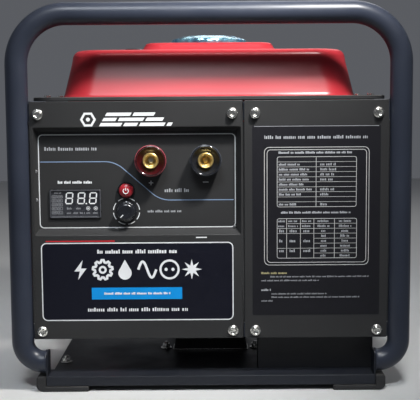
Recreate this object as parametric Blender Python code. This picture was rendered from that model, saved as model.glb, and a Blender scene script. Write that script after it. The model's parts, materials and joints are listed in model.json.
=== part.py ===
"""Engine driven welder: open tube frame, front panels, fuel tank, petrol engine and inverter.

Metres, +Z up, front towards -Y, origin on the floor under the middle of the frame.
Every object is one closed solid; parts that touch keep a gap of about 0.3 mm.
"""
import math

import bmesh
import bpy
from mathutils import Vector

# ---------------------------------------------------------------- driving dimensions
GAP = 0.0003

HALF_WIDTH = 0.245
HALF_DEPTH = 0.1995
TUBE_R = 0.0135
HOOP_Y = HALF_DEPTH - TUBE_R
FRONT_HOOP_TOP = 0.472
REAR_HOOP_TOP = 0.350
HOOP_UNDERSIDE = 0.021
FRONT_TOP_BEND = 0.060
REAR_TOP_BEND = 0.030
BOTTOM_BEND = 0.026
HOOP_END_X = 0.2025

TRAY_HALF_X = 0.202
TRAY_HALF_Y = 0.198
TRAY_RAIL_Y = 0.164
TRAY_TOP = 0.0185
TRAY_FLOOR = 0.0105
TRAY_LIP = 0.0064
SHEET = 0.002
TAB_TOP = 0.048
TAB_HALF_Y = 0.012

FOOT_HALF_X = 0.214
FOOT_INNER_X = 0.150
FOOT_ROUND = 0.008

PANEL_FRONT = -0.190
PANEL_BACK = -0.188
PANEL_HALF_X = 0.2165
PANEL_LOW = 0.0635
PANEL_HIGH = 0.3543
SPLIT_X = 0.0415
SPLIT_GAP = 0.0012
RECESS_OPENING = (-0.213, 0.038, 0.192, 0.323)
RECESS_FLOOR = (-0.209, 0.033, 0.198, 0.318)
RECESS_Y = -0.178
RECESS_WALL = 0.0014

BOLT_XS = (-0.2065, 0.0277, 0.0553, 0.204)
BOLT_ZS = (0.339, 0.073)
BOLT_SHANK_R = 0.003
BOLT_HOLE_R = 0.0034
BOLT_FLANGE_R = 0.0063
BOLT_HEX_HALF = 0.0043

DISPLAY = (-0.1958, -0.133, 0.212, 0.247)
KNOB_XZ = (-0.102, 0.220)
KNOB_R = 0.0115
KNOB_SKIRT_R = 0.0128
KNOB_SHAFT_R = 0.003
KNOB_FLUTES = 16
BUTTON_XZ = (-0.102, 0.2456)
BUTTON_R = 0.0087
SOCKET_XZ = {"positive": (-0.071, 0.2825), "negative": (-0.0045, 0.2825)}
SOCKET_R = 0.019
SOCKET_SPIGOT_R = 0.0126
CONTACT_R = 0.0095
CONTACT_BORE_R = 0.0065
CONTACT_PIN_R = 0.0028
CONTACT_FLANGE_R = 0.0125

RAIL_FACE_Y = -0.1877
RAIL_BACK_Y = -0.1727
RAIL_HALF_X = 0.2177
TOP_RAIL_Z = (0.330, 0.3524)
BOTTOM_RAIL_Z = (0.064, 0.082)
TANK_RAIL_INNER_X = 0.200
TANK_RAIL_OUTER_X = 0.238
TANK_RAIL_TOP = 0.3547
TANK_RAIL_DROP = 0.030

TANK_BOTTOM = 0.315
TANK_FLANGE_Z = 0.3551
TANK_TOP = 0.4185
TANK_BOSS_HALF = (0.0868, 0.1000)
TANK_BOSS_Z = 0.4290
TANK_WALL = 0.002
NECK_R = 0.0245
NECK_TOP = 0.4362
CAP_R = 0.0525
CAP_LOW = 0.4297
CAP_TOP = 0.4430
GASKET_HOLE_R = 0.0165
GASKET_ROOM = 0.0018
GAUGE_X = -0.104
FUEL_VALVE_XY = (-0.150, -0.060)
HOSE_R = 0.003

CRANK_Y = 0.030
CRANK_Z = 0.150
SHAFT_R = 0.010
CYLINDER_TILT = math.radians(45)
CYLINDER_FOOT = 0.055
HEAD_END = 0.130
COVER_END = 0.146
CASE_HALF_X = 0.058
CASE_FRONT_Y = -0.045
CASE_LOW_Z = 0.039
HEAD_HALF = 0.045
PORT_Y = 0.114
PORT_Z = 0.240
EXHAUST_R = 0.012
MUFFLER_YZ = (0.125, 0.2525)
MUFFLER_HALF = (0.035, 0.0475)
MUFFLER_SPAN = (0.080, 0.195)
GUARD_YZ = (0.085, 0.1672, 0.200, 0.3065)
GUARD_SHEET = 0.0012
CARBURETTOR_R = 0.016
BOWL_X = -0.065
CLEANER_XY = (-0.130, 0.1225)
CLEANER_HALF = (0.045, 0.0375)
CLEANER_Z = (0.2280, 0.3030)
DIPSTICK_XZ = (0.035, 0.085)
MOUNT_HALF_X = 0.052

REEL_R = 0.040
REEL_X = -0.150
ROPE_R = 0.002

INVERTER = (0.060, 0.204, -0.161, -0.125)
INVERTER_TOP = 0.260
FIN_REACH = 0.025
FIN_COUNT = 9
FAN_XZ = (0.132, 0.150)
OUTLET_YZ = (-0.130, 0.215)


# ---------------------------------------------------------------- materials
def material(name, colour, roughness, metallic=0.0):
    made = bpy.data.materials.new(name)
    made.use_nodes = True
    shader = made.node_tree.nodes["Principled BSDF"]
    shader.inputs["Base Color"].default_value = (*colour, 1.0)
    shader.inputs["Roughness"].default_value = roughness
    shader.inputs["Metallic"].default_value = metallic
    made.diffuse_color = (*colour, 1.0)
    return made


def make_palette():
    return {
        "frame": material("frame_paint", (0.055, 0.060, 0.070), 0.32),
        "panel": material("panel_paint", (0.045, 0.047, 0.052), 0.45),
        "red": material("tank_red", (0.62, 0.035, 0.050), 0.18),
        "cap": material("cap_plated", (0.55, 0.72, 0.80), 0.15, 1.0),
        "zinc": material("zinc", (0.75, 0.75, 0.72), 0.25, 1.0),
        "steel": material("steel", (0.55, 0.55, 0.56), 0.35, 1.0),
        "brass": material("brass", (0.75, 0.55, 0.22), 0.25, 1.0),
        "cast": material("cast_aluminium", (0.48, 0.49, 0.50), 0.55, 1.0),
        "black": material("black_plastic", (0.020, 0.020, 0.022), 0.40),
        "rubber": material("rubber", (0.015, 0.015, 0.015), 0.85),
        "maroon": material("maroon_plastic", (0.16, 0.020, 0.022), 0.35),
        "button": material("button_red", (0.70, 0.030, 0.035), 0.25),
        "exhaust": material("exhaust_paint", (0.090, 0.088, 0.085), 0.60, 0.6),
        "rope": material("rope", (0.30, 0.30, 0.28), 0.85),
        "winding": material("copper_winding", (0.50, 0.20, 0.09), 0.40, 0.7),
    }


# ---------------------------------------------------------------- outlines and meshes
def rect(low_u, high_u, low_v, high_v):
    return [(low_u, low_v), (high_u, low_v), (high_u, high_v), (low_u, high_v)]


def grown(sides, amount):
    return (sides[0] - amount, sides[1] + amount, sides[2] - amount, sides[3] + amount)


def circle(radius, count, centre=(0.0, 0.0)):
    turns = [2 * math.pi * step / count for step in range(count)]
    return [(centre[0] + radius * math.cos(a), centre[1] + radius * math.sin(a)) for a in turns]


def rounded(half_u, half_v, corner, steps=6):
    """Rounded rectangle with 4 * (steps + 2) points; point 0 is the middle of the +u side."""
    points = []
    signs = ((1, 1), (-1, 1), (-1, -1), (1, -1))
    middles = ((half_u, 0.0), (0.0, half_v), (-half_u, 0.0), (0.0, -half_v))
    for quarter, (sign_u, sign_v) in enumerate(signs):
        points.append(middles[quarter])
        for step in range(steps + 1):
            angle = math.pi / 2 * (quarter + step / steps)
            points.append((sign_u * (half_u - corner) + corner * math.cos(angle),
                           sign_v * (half_v - corner) + corner * math.sin(angle)))
    return points


def hexagon(apothem, points_per_side=2):
    """Hexagon whose point count is 6 * points_per_side, to join with a circle."""
    count = 6 * points_per_side
    points = []
    for step in range(count):
        angle = 2 * math.pi * step / count
        off = (angle + math.pi / 6) % (math.pi / 3) - math.pi / 6
        radius = apothem / math.cos(off)
        points.append((radius * math.cos(angle), radius * math.sin(angle)))
    return points


def blades(tip_r, root_r, blade_count, points_per_blade, turn=0.0):
    """Outline of a fan: half of each step of points is on the tip circle, half on the root."""
    count = blade_count * points_per_blade
    points = []
    for step in range(count):
        radius = tip_r if step % points_per_blade < points_per_blade // 2 else root_r
        angle = 2 * math.pi * step / count + turn
        points.append((radius * math.cos(angle), radius * math.sin(angle)))
    return points


def on_axis(outline, along, axis, centre=(0.0, 0.0)):
    """Lift a 2-D outline to 3-D, on the plane across the axis at the given distance."""
    if axis == "X":
        return [(along, u + centre[0], v + centre[1]) for u, v in outline]
    if axis == "Y":
        return [(u + centre[0], along, v + centre[1]) for u, v in outline]
    return [(u + centre[0], v + centre[1], along) for u, v in outline]


def skin(rings, closed=False):
    """Mesh over rings with equal point counts. The ends are capped, or joined when closed."""
    count = len(rings[0])
    faces = []
    for index in range(len(rings) if closed else len(rings) - 1):
        here = index * count
        after = (index + 1) % len(rings) * count
        for step in range(count):
            side = (step + 1) % count
            faces.append((here + step, here + side, after + side, after + step))
    if not closed:
        faces.append(tuple(range(count)))
        faces.append(tuple(range((len(rings) - 1) * count, len(rings) * count)))
    mesh = bpy.data.meshes.new("skin")
    mesh.from_pydata([point for ring in rings for point in ring], [], faces)
    work = bmesh.new()
    work.from_mesh(mesh)
    bmesh.ops.recalc_face_normals(work, faces=work.faces)
    work.to_mesh(mesh)
    work.free()
    return mesh


def add(name, mesh, finish, place=(0.0, 0.0, 0.0), turn=(0.0, 0.0, 0.0), smooth=False):
    if finish and not mesh.materials:
        mesh.materials.append(finish)
    if smooth:
        mesh.shade_smooth()
        mesh.set_sharp_from_angle(angle=math.radians(35))
    made = bpy.data.objects.new(name, mesh)
    made.location = place
    made.rotation_euler = turn
    bpy.context.scene.collection.objects.link(made)
    return made


def prism(name, outline, axis, span, finish, place=(0.0, 0.0, 0.0)):
    rings = [on_axis(outline, along, axis) for along in span]
    return add(name, skin(rings), finish, place)


def turned(name, profile, axis, finish, place=(0.0, 0.0, 0.0), count=24, closed=False):
    """Solid of revolution; the profile holds (radius, distance along the axis) pairs."""
    rings = [on_axis(circle(radius, count), along, axis) for radius, along in profile]
    return add(name, skin(rings, closed), finish, place, smooth=True)


def pipe(name, points, radius, finish, resolution):
    curve = bpy.data.curves.new(name, "CURVE")
    curve.dimensions = "3D"
    curve.bevel_depth = radius
    curve.bevel_resolution = resolution
    curve.use_fill_caps = True
    spline = curve.splines.new("POLY")
    spline.points.add(len(points) - 1)
    for spot, point in zip(spline.points, points):
        spot.co = (*point, 1.0)
    spline.use_smooth = True
    curve.materials.append(finish)
    made = bpy.data.objects.new(name, curve)
    bpy.context.scene.collection.objects.link(made)
    return made


def round_edges(target, width, segments=2):
    step = target.modifiers.new("round_edges", "BEVEL")
    step.width = width
    step.segments = segments
    step.limit_method = "ANGLE"
    step.angle_limit = math.radians(40)


def combine(target, tool, operation):
    tool.hide_render = True
    tool.display_type = "WIRE"
    step = target.modifiers.new(operation.lower(), "BOOLEAN")
    step.operation = operation
    step.solver = "EXACT"
    step.object = tool


def drill(target, holes, axis, span, count=12):
    """Cut round holes; each hole is (u, v, radius) on the plane across the axis."""
    for number, (u, v, radius) in enumerate(holes):
        mesh = skin([on_axis(circle(radius, count), along, axis, (u, v)) for along in span])
        combine(target, add(f"{target.name}_drill_{number}", mesh, None), "DIFFERENCE")


def arc(centre, radius, start, end, steps):
    angles = [math.radians(start + (end - start) * step / steps) for step in range(steps + 1)]
    return [(centre[0] + radius * math.cos(a), centre[1] + radius * math.sin(a)) for a in angles]


def smooth_route(points, steps):
    """Catmull-Rom curve through the points."""
    padded = [points[0], *points, points[-1]]
    route = []
    for index in range(1, len(padded) - 2):
        p0, p1, p2, p3 = (Vector(p) for p in padded[index - 1:index + 3])
        for step in range(steps):
            t = step / steps
            route.append(0.5 * (2 * p1 + (p2 - p0) * t + (2 * p0 - 5 * p1 + 4 * p2 - p3) * t * t
                                + (3 * p1 - p0 - 3 * p2 + p3) * t ** 3))
    route.append(Vector(points[-1]))
    return route


# ---------------------------------------------------------------- frame and base
def make_hoop(name, y, top, top_bend, finish):
    """Bent tube standing on its plane, open at the bottom with its ends turned inwards."""
    side = HALF_WIDTH - TUBE_R
    low = HOOP_UNDERSIDE + TUBE_R + BOTTOM_BEND
    high = top - TUBE_R - top_bend
    left = [(-HOOP_END_X, HOOP_UNDERSIDE + TUBE_R)]
    left += arc((-side + BOTTOM_BEND, low), BOTTOM_BEND, 270, 180, 6)
    left += arc((-side + top_bend, high), top_bend, 180, 90, 8)
    outline = left + [(-x, z) for x, z in reversed(left)]
    pipe(name, [(x, y, z) for x, z in outline], TUBE_R, finish, 6)


def make_tray(finish):
    under = TRAY_TOP - SHEET
    half = [(TRAY_RAIL_Y, TRAY_FLOOR), (TRAY_RAIL_Y, TRAY_TOP),
            (TRAY_HALF_Y, TRAY_TOP), (TRAY_HALF_Y, TRAY_LIP),
            (TRAY_HALF_Y - SHEET, TRAY_LIP), (TRAY_HALF_Y - SHEET, under),
            (TRAY_RAIL_Y + SHEET, under), (TRAY_RAIL_Y + SHEET, TRAY_FLOOR - SHEET)]
    outline = half + [(-y, z) for y, z in reversed(half)]
    tray = prism("base_tray", outline, "X", (-TRAY_HALF_X, TRAY_HALF_X), finish)
    inner = TRAY_HALF_X - SHEET
    for number, (sign_x, sign_y) in enumerate(((-1, -1), (1, -1), (1, 1), (-1, 1))):
        mid = sign_y * HOOP_Y
        edges = sorted((sign_x * inner, sign_x * TRAY_HALF_X))
        side = rect(edges[0], edges[1], mid - TAB_HALF_Y, mid + TAB_HALF_Y)
        tab = prism(f"tray_tab_{number}", side, "Z", (TRAY_TOP - SHEET / 2, TAB_TOP), finish)
        combine(tray, tab, "UNION")


def make_feet(finish):
    step_x = TRAY_HALF_X + GAP
    corner = arc((FOOT_HALF_X - FOOT_ROUND, FOOT_ROUND), FOOT_ROUND, -90, 0, 4)
    outline = [(FOOT_INNER_X, 0.0), *corner, (FOOT_HALF_X, TRAY_TOP), (step_x, TRAY_TOP),
               (step_x, TRAY_LIP - GAP), (FOOT_INNER_X, TRAY_LIP - GAP)]
    corners = {"front_left": (-1, -1), "front_right": (1, -1),
               "rear_left": (-1, 1), "rear_right": (1, 1)}
    for place, (sign_x, sign_y) in corners.items():
        profile = [(sign_x * x, z) for x, z in outline]
        span = (sign_y * 0.162, sign_y * 0.200)
        foot = prism(f"rubber_foot_{place}", profile, "Y", span, finish)
        foot.data.shade_smooth()
        foot.data.set_sharp_from_angle(angle=math.radians(35))


def make_panel_rails(finish):
    """Angle bars across the front hoop that carry the panels' bolts."""
    bars = {"panel_top_rail": (*TOP_RAIL_Z, TOP_RAIL_Z[1] - SHEET, TOP_RAIL_Z[1]),
            "panel_bottom_rail": (*BOTTOM_RAIL_Z, BOTTOM_RAIL_Z[0], BOTTOM_RAIL_Z[0] + SHEET)}
    for (name, (low, high, lip_low, lip_high)), bolt_z in zip(bars.items(), BOLT_ZS):
        web = RAIL_FACE_Y + SHEET
        if lip_high == high:
            outline = [(RAIL_FACE_Y, low), (web, low), (web, lip_low),
                       (RAIL_BACK_Y, lip_low), (RAIL_BACK_Y, high), (RAIL_FACE_Y, high)]
        else:
            outline = [(RAIL_FACE_Y, low), (RAIL_BACK_Y, low), (RAIL_BACK_Y, lip_high),
                       (web, lip_high), (web, high), (RAIL_FACE_Y, high)]
        bar = prism(name, outline, "X", (-RAIL_HALF_X, RAIL_HALF_X), finish)
        holes = [(x, bolt_z, BOLT_HOLE_R) for x in BOLT_XS]
        drill(bar, holes, "Y", (RAIL_FACE_Y - 0.002, web + 0.002))


def make_tank_rails(finish):
    reach = -RAIL_BACK_Y - GAP
    low = TANK_RAIL_TOP - TANK_RAIL_DROP
    for place, sign in (("left", -1), ("right", 1)):
        outline = [(TANK_RAIL_INNER_X, low), (TANK_RAIL_INNER_X + SHEET, low),
                   (TANK_RAIL_INNER_X + SHEET, TANK_RAIL_TOP - SHEET),
                   (TANK_RAIL_OUTER_X, TANK_RAIL_TOP - SHEET),
                   (TANK_RAIL_OUTER_X, TANK_RAIL_TOP), (TANK_RAIL_INNER_X, TANK_RAIL_TOP)]
        profile = [(sign * x, z) for x, z in outline]
        prism(f"tank_rail_{place}", profile, "Y", (-reach, reach), finish)


# ---------------------------------------------------------------- front panels and controls
def bolt_holes(first, last):
    return [(x, z, BOLT_HOLE_R) for x in BOLT_XS[first:last] for z in BOLT_ZS]


def make_control_panel(finish):
    """Pressed sheet with a sloping recess that holds the controls."""
    outer = (-PANEL_HALF_X, SPLIT_X - SPLIT_GAP / 2, PANEL_LOW, PANEL_HIGH)
    steps = ((RECESS_FLOOR, RECESS_Y), (RECESS_OPENING, PANEL_FRONT), (outer, PANEL_FRONT),
             (outer, PANEL_BACK), (grown(RECESS_OPENING, RECESS_WALL), PANEL_BACK),
             (grown(RECESS_FLOOR, RECESS_WALL), RECESS_Y + SHEET))
    panel = add("control_panel", skin([on_axis(rect(*s), y, "Y") for s, y in steps]), finish)
    holes = bolt_holes(0, 2)
    drill(panel, holes, "Y", (PANEL_FRONT - 0.002, PANEL_BACK + 0.002))
    floor_span = (RECESS_Y - 0.002, RECESS_Y + 0.005)
    round_holes = [(*SOCKET_XZ["positive"], SOCKET_SPIGOT_R + GAP),
                   (*SOCKET_XZ["negative"], SOCKET_SPIGOT_R + GAP),
                   (*BUTTON_XZ, BUTTON_R + GAP), (*KNOB_XZ, KNOB_SHAFT_R + GAP)]
    for number, (x, z, radius) in enumerate(round_holes):
        mesh = skin([on_axis(circle(radius, 16), y, "Y", (x, z)) for y in floor_span])
        combine(panel, add(f"control_cut_{number}", mesh, None), "DIFFERENCE")
    window = prism("window_cut", rect(*grown(DISPLAY, -0.0035)), "Y", floor_span, None)
    combine(panel, window, "DIFFERENCE")


def make_rating_panel(finish):
    outline = rect(SPLIT_X + SPLIT_GAP / 2, PANEL_HALF_X, PANEL_LOW, PANEL_HIGH)
    panel = prism("rating_panel", outline, "Y", (PANEL_FRONT, PANEL_BACK), finish)
    drill(panel, bolt_holes(2, 4), "Y", (PANEL_FRONT - 0.002, PANEL_BACK + 0.002))


def bolt_mesh():
    """Flanged hexagon bolt along Y, its flange resting on y = 0 and its head towards -Y."""
    round_count = 12
    steps = ((circle(BOLT_SHANK_R, round_count), 0.0100),
             (circle(BOLT_SHANK_R, round_count), 0.0),
             (circle(BOLT_FLANGE_R, round_count), 0.0),
             (circle(BOLT_FLANGE_R, round_count), -0.0009),
             (circle(BOLT_FLANGE_R - 0.0008, round_count), -0.0016),
             (hexagon(BOLT_HEX_HALF), -0.0016),
             (hexagon(BOLT_HEX_HALF), -0.0046),
             (circle(0.0038, round_count), -0.0053))
    return skin([on_axis(outline, along, "Y") for outline, along in steps])


def make_bolts(finish):
    shared = bolt_mesh()
    number = 1
    for z in BOLT_ZS:
        for x in BOLT_XS:
            add(f"panel_bolt_{number}", shared, finish, (x, PANEL_FRONT - GAP, z))
            number += 1


def make_display(finish):
    body = grown(DISPLAY, -0.004)
    steps = ((DISPLAY, RECESS_Y - 0.0022), (DISPLAY, RECESS_Y - GAP),
             (body, RECESS_Y - GAP), (body, -0.165))
    add("display_module", skin([on_axis(rect(*s), y, "Y") for s, y in steps]), finish)


def make_knob(finish):
    """Fluted knob on a thin shaft; its origin is on the turning axis."""
    count = 2 * KNOB_FLUTES
    flutes = [(KNOB_R * (1.0 if step % 2 else 0.94)) for step in range(count)]
    turns = [2 * math.pi * step / count for step in range(count)]
    fluted = [(r * math.cos(a), r * math.sin(a)) for r, a in zip(flutes, turns)]
    steps = ((circle(KNOB_SHAFT_R, count), 0.010), (circle(KNOB_SHAFT_R, count), -0.0005),
             (circle(KNOB_SKIRT_R, count), -0.0005),
             (circle(KNOB_SKIRT_R - 0.0004, count), -0.0030),
             (fluted, -0.0034), ([(0.93 * u, 0.93 * v) for u, v in fluted], -0.0118),
             (circle(KNOB_R * 0.82, count), -0.0126))
    mesh = skin([on_axis(outline, along, "Y") for outline, along in steps])
    add("current_knob", mesh, finish, (KNOB_XZ[0], RECESS_Y, KNOB_XZ[1]), smooth=True)


def make_button(finish):
    profile = ((BUTTON_R, 0.006), (BUTTON_R, -0.0036), (0.0080, -0.0054), (0.0060, -0.0067),
               (0.0032, -0.0074))
    place = (BUTTON_XZ[0], RECESS_Y, BUTTON_XZ[1])
    turned("switch_button", profile, "Y", finish, place)


def make_sockets(body_finishes, contact_finish):
    """Cable sockets: a plastic collar on the panel round a bored brass contact."""
    hole = CONTACT_R + GAP
    collar = ((hole, -0.0165), (0.0135, -0.0178), (0.0172, -0.0172), (SOCKET_R, -0.0150),
              (SOCKET_R, -GAP), (SOCKET_SPIGOT_R, -GAP), (SOCKET_SPIGOT_R, 0.0100),
              (hole, 0.0100))
    contact = ((CONTACT_PIN_R, -0.0010), (CONTACT_PIN_R, 0.0060), (CONTACT_BORE_R, 0.0060),
               (CONTACT_BORE_R, -0.0158), (0.0085, -0.0168),
               (CONTACT_R, -0.0160), (CONTACT_R, 0.0120), (CONTACT_FLANGE_R, 0.0120),
               (CONTACT_FLANGE_R, 0.0170), (0.0050, 0.0170), (0.0050, 0.0290))
    for name, (x, z) in SOCKET_XZ.items():
        place = (x, RECESS_Y, z)
        turned(f"output_socket_{name}", collar, "Y", body_finishes[name], place, 32, True)
        turned(f"brass_contact_{name}", contact, "Y", contact_finish, place, 20)


# ---------------------------------------------------------------- fuel tank
def tank_skin():
    """Outer shell from the bottom to the neck, then the inner shell back down."""
    def ring(half_x, half_y, corner, z):
        return on_axis(rounded(half_x, half_y, corner), z, "Z")

    def hoop(radius, z):
        return on_axis(circle(radius, 32), z, "Z")

    def boss(inset, corner, z):
        return ring(TANK_BOSS_HALF[0] - inset, TANK_BOSS_HALF[1] - inset, corner, z)

    outer = [ring(0.166, 0.134, 0.040, TANK_BOTTOM),
             ring(0.175, 0.143, 0.040, TANK_BOTTOM + 0.006),
             ring(0.180, 0.148, 0.040, TANK_FLANGE_Z),
             ring(0.219, 0.165, 0.030, TANK_FLANGE_Z),
             ring(0.219, 0.165, 0.030, TANK_FLANGE_Z + 0.0025),
             ring(0.1855, 0.1545, 0.040, TANK_FLANGE_Z + 0.0050),
             ring(0.1830, 0.152, 0.040, TANK_FLANGE_Z + 0.0090),
             ring(0.1758, 0.139, 0.040, 0.4010),
             ring(0.1742, 0.137, 0.040, 0.4085),
             ring(0.1712, 0.134, 0.037, 0.4140),
             ring(0.1677, 0.130, 0.034, 0.4170),
             ring(0.1627, 0.125, 0.029, TANK_TOP),
             boss(0.0, 0.026, TANK_TOP),
             boss(0.0030, 0.024, TANK_TOP + 0.0065),
             boss(0.0072, 0.021, TANK_BOSS_Z - 0.0007),
             hoop(NECK_R + 0.004, TANK_BOSS_Z),
             hoop(NECK_R, TANK_BOSS_Z + 0.0007),
             hoop(NECK_R, NECK_TOP)]
    inner = [hoop(NECK_R - TANK_WALL, NECK_TOP),
             hoop(NECK_R - TANK_WALL, TANK_BOSS_Z - TANK_WALL),
             boss(0.0100, 0.018, TANK_BOSS_Z - 0.0027),
             boss(0.0054, 0.021, TANK_TOP + 0.0045),
             boss(0.0028, 0.023, TANK_TOP - TANK_WALL),
             ring(0.1617, 0.124, 0.028, TANK_TOP - TANK_WALL),
             ring(0.1662, 0.1285, 0.032, 0.4155),
             ring(0.1692, 0.132, 0.035, 0.4130),
             ring(0.1722, 0.135, 0.038, 0.4080),
             ring(0.1738, 0.137, 0.038, 0.4005),
             ring(0.1775, 0.146, 0.038, TANK_FLANGE_Z),
             ring(0.173, 0.141, 0.038, TANK_BOTTOM + 0.007),
             ring(0.165, 0.133, 0.038, TANK_BOTTOM + TANK_WALL)]
    return skin(outer + inner)


def make_tank(finish):
    add("fuel_tank", tank_skin(), finish, smooth=True)


def make_cap(cap_finish, gasket_finish):
    """Cap with a pocket over the neck; the gasket lies between its roof and the neck's rim."""
    roof = NECK_TOP + GASKET_ROOM
    profile = ((CAP_R - 0.003, CAP_LOW), (CAP_R, CAP_LOW + 0.0015), (CAP_R, CAP_LOW + 0.0050),
               (CAP_R - 0.004, CAP_LOW + 0.0078), (CAP_R - 0.018, CAP_TOP - 0.0014),
               (CAP_R - 0.034, CAP_TOP - 0.0003), (0.006, CAP_TOP))
    pocket = ((NECK_R - 0.001, roof), (NECK_R + 0.0006, roof), (NECK_R + 0.0006, CAP_LOW))
    turned("fuel_cap", pocket + profile, "Z", cap_finish, count=32)
    low = NECK_TOP + GAP
    ring = ((GASKET_HOLE_R, low), (NECK_R - 0.0005, low), (NECK_R - 0.0005, roof - GAP),
            (GASKET_HOLE_R, roof - GAP))
    turned("fuel_cap_gasket", ring, "Z", gasket_finish, closed=True)


def make_gauge(finish):
    profile = ((0.0125, TANK_TOP + GAP), (0.0125, TANK_TOP + 0.0050), (0.0110, TANK_TOP + 0.0068),
               (0.0090, TANK_TOP + 0.0072))
    turned("fuel_gauge", profile, "Z", finish, (GAUGE_X, 0.0, 0.0), 20)


def make_fuel_line(finishes):
    """Shut-off valve under the tank, its lever, and the hose to the carburettor."""
    x, y = FUEL_VALVE_XY
    top = TANK_BOTTOM - GAP
    profile = ((0.0060, top), (0.0060, top - 0.008), (0.0090, top - 0.009),
               (0.0090, top - 0.024), (0.0030, top - 0.026), (0.0030, top - 0.032))
    turned("fuel_valve", profile, "Z", finishes["cast"], (x, y, 0.0), 16)
    arm = arc((0.0, 0.0), 0.005, 0, 180, 6) + [(-0.0035, -0.020), (0.0035, -0.020)]
    pivot = (x - 0.0092 - GAP, y, top - 0.0165)
    prism("fuel_valve_lever", arm, "X", (-0.0035, 0.0), finishes["red_plastic"], pivot)
    stub = top - 0.032 - GAP
    carb_top = PORT_Z + 0.0165
    route = [(x, y, stub), (x, y, stub - 0.005), (x, y, stub - 0.009),
             (x + 0.012, y + 0.018, stub - 0.018), (-0.100, 0.020, 0.263),
             (-0.072, 0.080, 0.272), (BOWL_X, 0.105, 0.273), (BOWL_X, PORT_Y, 0.266),
             (BOWL_X, PORT_Y, 0.261), (BOWL_X, PORT_Y, carb_top + GAP)]
    pipe("fuel_hose", smooth_route(route, 5), HOSE_R, finishes["rubber"], 2)


# ---------------------------------------------------------------- engine
def along_cylinder(distance, sideways=0.0):
    """World Y and Z of a point beside the tilted cylinder's axis."""
    return (CRANK_Y + distance * math.sin(CYLINDER_TILT) + sideways * math.cos(CYLINDER_TILT),
            CRANK_Z + distance * math.cos(CYLINDER_TILT) - sideways * math.sin(CYLINDER_TILT))


def make_crankcase(finish):
    """Hollow case on the engine mounts; its sloping face carries the cylinder."""
    face_sum = CRANK_Y + CRANK_Z + CYLINDER_FOOT * math.sqrt(2)
    low, back, top, front = CASE_LOW_Z, 0.105, 0.2207, CASE_FRONT_Y
    outline = [(front, low), (back, low), (back, face_sum - back), (face_sum - top, top),
               (-0.020, top), (front, 0.190)]
    case = prism("crankcase", outline, "X", (-CASE_HALF_X, CASE_HALF_X), finish)
    crank = (CRANK_Y, CRANK_Z)
    drill(case, [(*crank, 0.045)], "X", (-0.050, 0.050), 24)
    drill(case, [(*crank, SHAFT_R + 0.0007)], "X", (-0.070, 0.070), 16)
    bore = skin([on_axis(circle(0.031, 16), along, "Z") for along in (0.0, 0.070)])
    tool = add("case_bore", bore, None, (0.0, *crank), (-CYLINDER_TILT, 0.0, 0.0))
    combine(case, tool, "DIFFERENCE")
    drill(case, [(*DIPSTICK_XZ, 0.0045)], "Y", (front - 0.015, front + 0.040))


def make_cylinder(finish):
    """Finned cylinder with its head, bored from below."""
    core, fin, corner = 0.036, HEAD_HALF, 0.012
    rings = []
    fin_count, pitch, thick = 6, 0.0090, 0.0035
    start = CYLINDER_FOOT + GAP
    for number in range(fin_count):
        low = start + number * pitch
        for half, z in ((fin, low), (fin, low + thick), (core, low + thick), (core, low + pitch)):
            rings.append(on_axis(rounded(half, half, corner, 1), z, "Z"))
    for half, z in ((0.043, start + fin_count * pitch), (0.043, HEAD_END)):
        rings.append(on_axis(rounded(half, half, corner, 1), z, "Z"))
    bore = [on_axis(circle(0.030, 12), z, "Z") for z in (HEAD_END - 0.008, start)]
    mesh = skin(bore + rings)
    add("cylinder", mesh, finish, (0.0, CRANK_Y, CRANK_Z), (-CYLINDER_TILT, 0.0, 0.0))


def make_valve_cover(finish):
    steps = (((0.038, 0.036, 0.010), HEAD_END + GAP), ((0.038, 0.036, 0.010), HEAD_END + 0.003),
             ((0.034, 0.032, 0.010), HEAD_END + 0.004), ((0.033, 0.031, 0.010), COVER_END - 0.002),
             ((0.030, 0.028, 0.008), COVER_END))
    rings = [on_axis(rounded(*size, 2), along, "Z") for size, along in steps]
    add("valve_cover", skin(rings), finish, (0.0, CRANK_Y, CRANK_Z), (-CYLINDER_TILT, 0.0, 0.0))


def make_spark_plug_boot(finish):
    y, z = along_cylinder(HEAD_END - 0.011, -0.0433)
    profile = ((0.0060, 0.0), (0.0060, 0.006), (0.0085, 0.007), (0.0085, 0.028), (0.0065, 0.034))
    rings = [on_axis(circle(radius, 16), along, "Z") for radius, along in profile]
    turn = (math.pi / 2 - CYLINDER_TILT, 0.0, 0.0)
    add("spark_plug_boot", skin(rings), finish, (0.0, y, z), turn, smooth=True)


def make_crankshaft(finish):
    """Shaft with one throw, hanging down, between two webs; origin on the crank axis."""
    web = circle(0.034, 16, (0.0, -0.006))
    pin = circle(0.011, 16, (0.0, -0.020))
    shaft = circle(SHAFT_R, 16)
    steps = ((shaft, -0.130), (shaft, -0.030), (web, -0.030), (web, -0.016), (pin, -0.016),
             (pin, 0.016), (web, 0.016), (web, 0.030), (shaft, 0.030), (shaft, 0.124))
    mesh = skin([on_axis(outline, along, "X") for outline, along in steps])
    add("crankshaft", mesh, finish, (0.0, CRANK_Y, CRANK_Z), smooth=True)


def make_flywheel(finish):
    hole = circle(SHAFT_R + GAP, 40)
    vanes = blades(0.082, 0.054, 10, 4)
    steps = ((vanes, -0.074), (vanes, -0.118), (hole, -0.118), (hole, -0.074))
    mesh = skin([on_axis(outline, along, "X") for outline, along in steps], closed=True)
    add("flywheel_fan", mesh, finish, (0.0, CRANK_Y, CRANK_Z))


def make_shroud(finish):
    profile = ((0.040, -0.0613), (0.091, -0.0613), (0.091, -0.1320), (0.060, -0.1320),
               (0.060, -0.1300), (0.0885, -0.1300), (0.0885, -0.0633), (0.040, -0.0633))
    turned("fan_shroud", profile, "X", finish, (0.0, CRANK_Y, CRANK_Z), 32, True)


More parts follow.
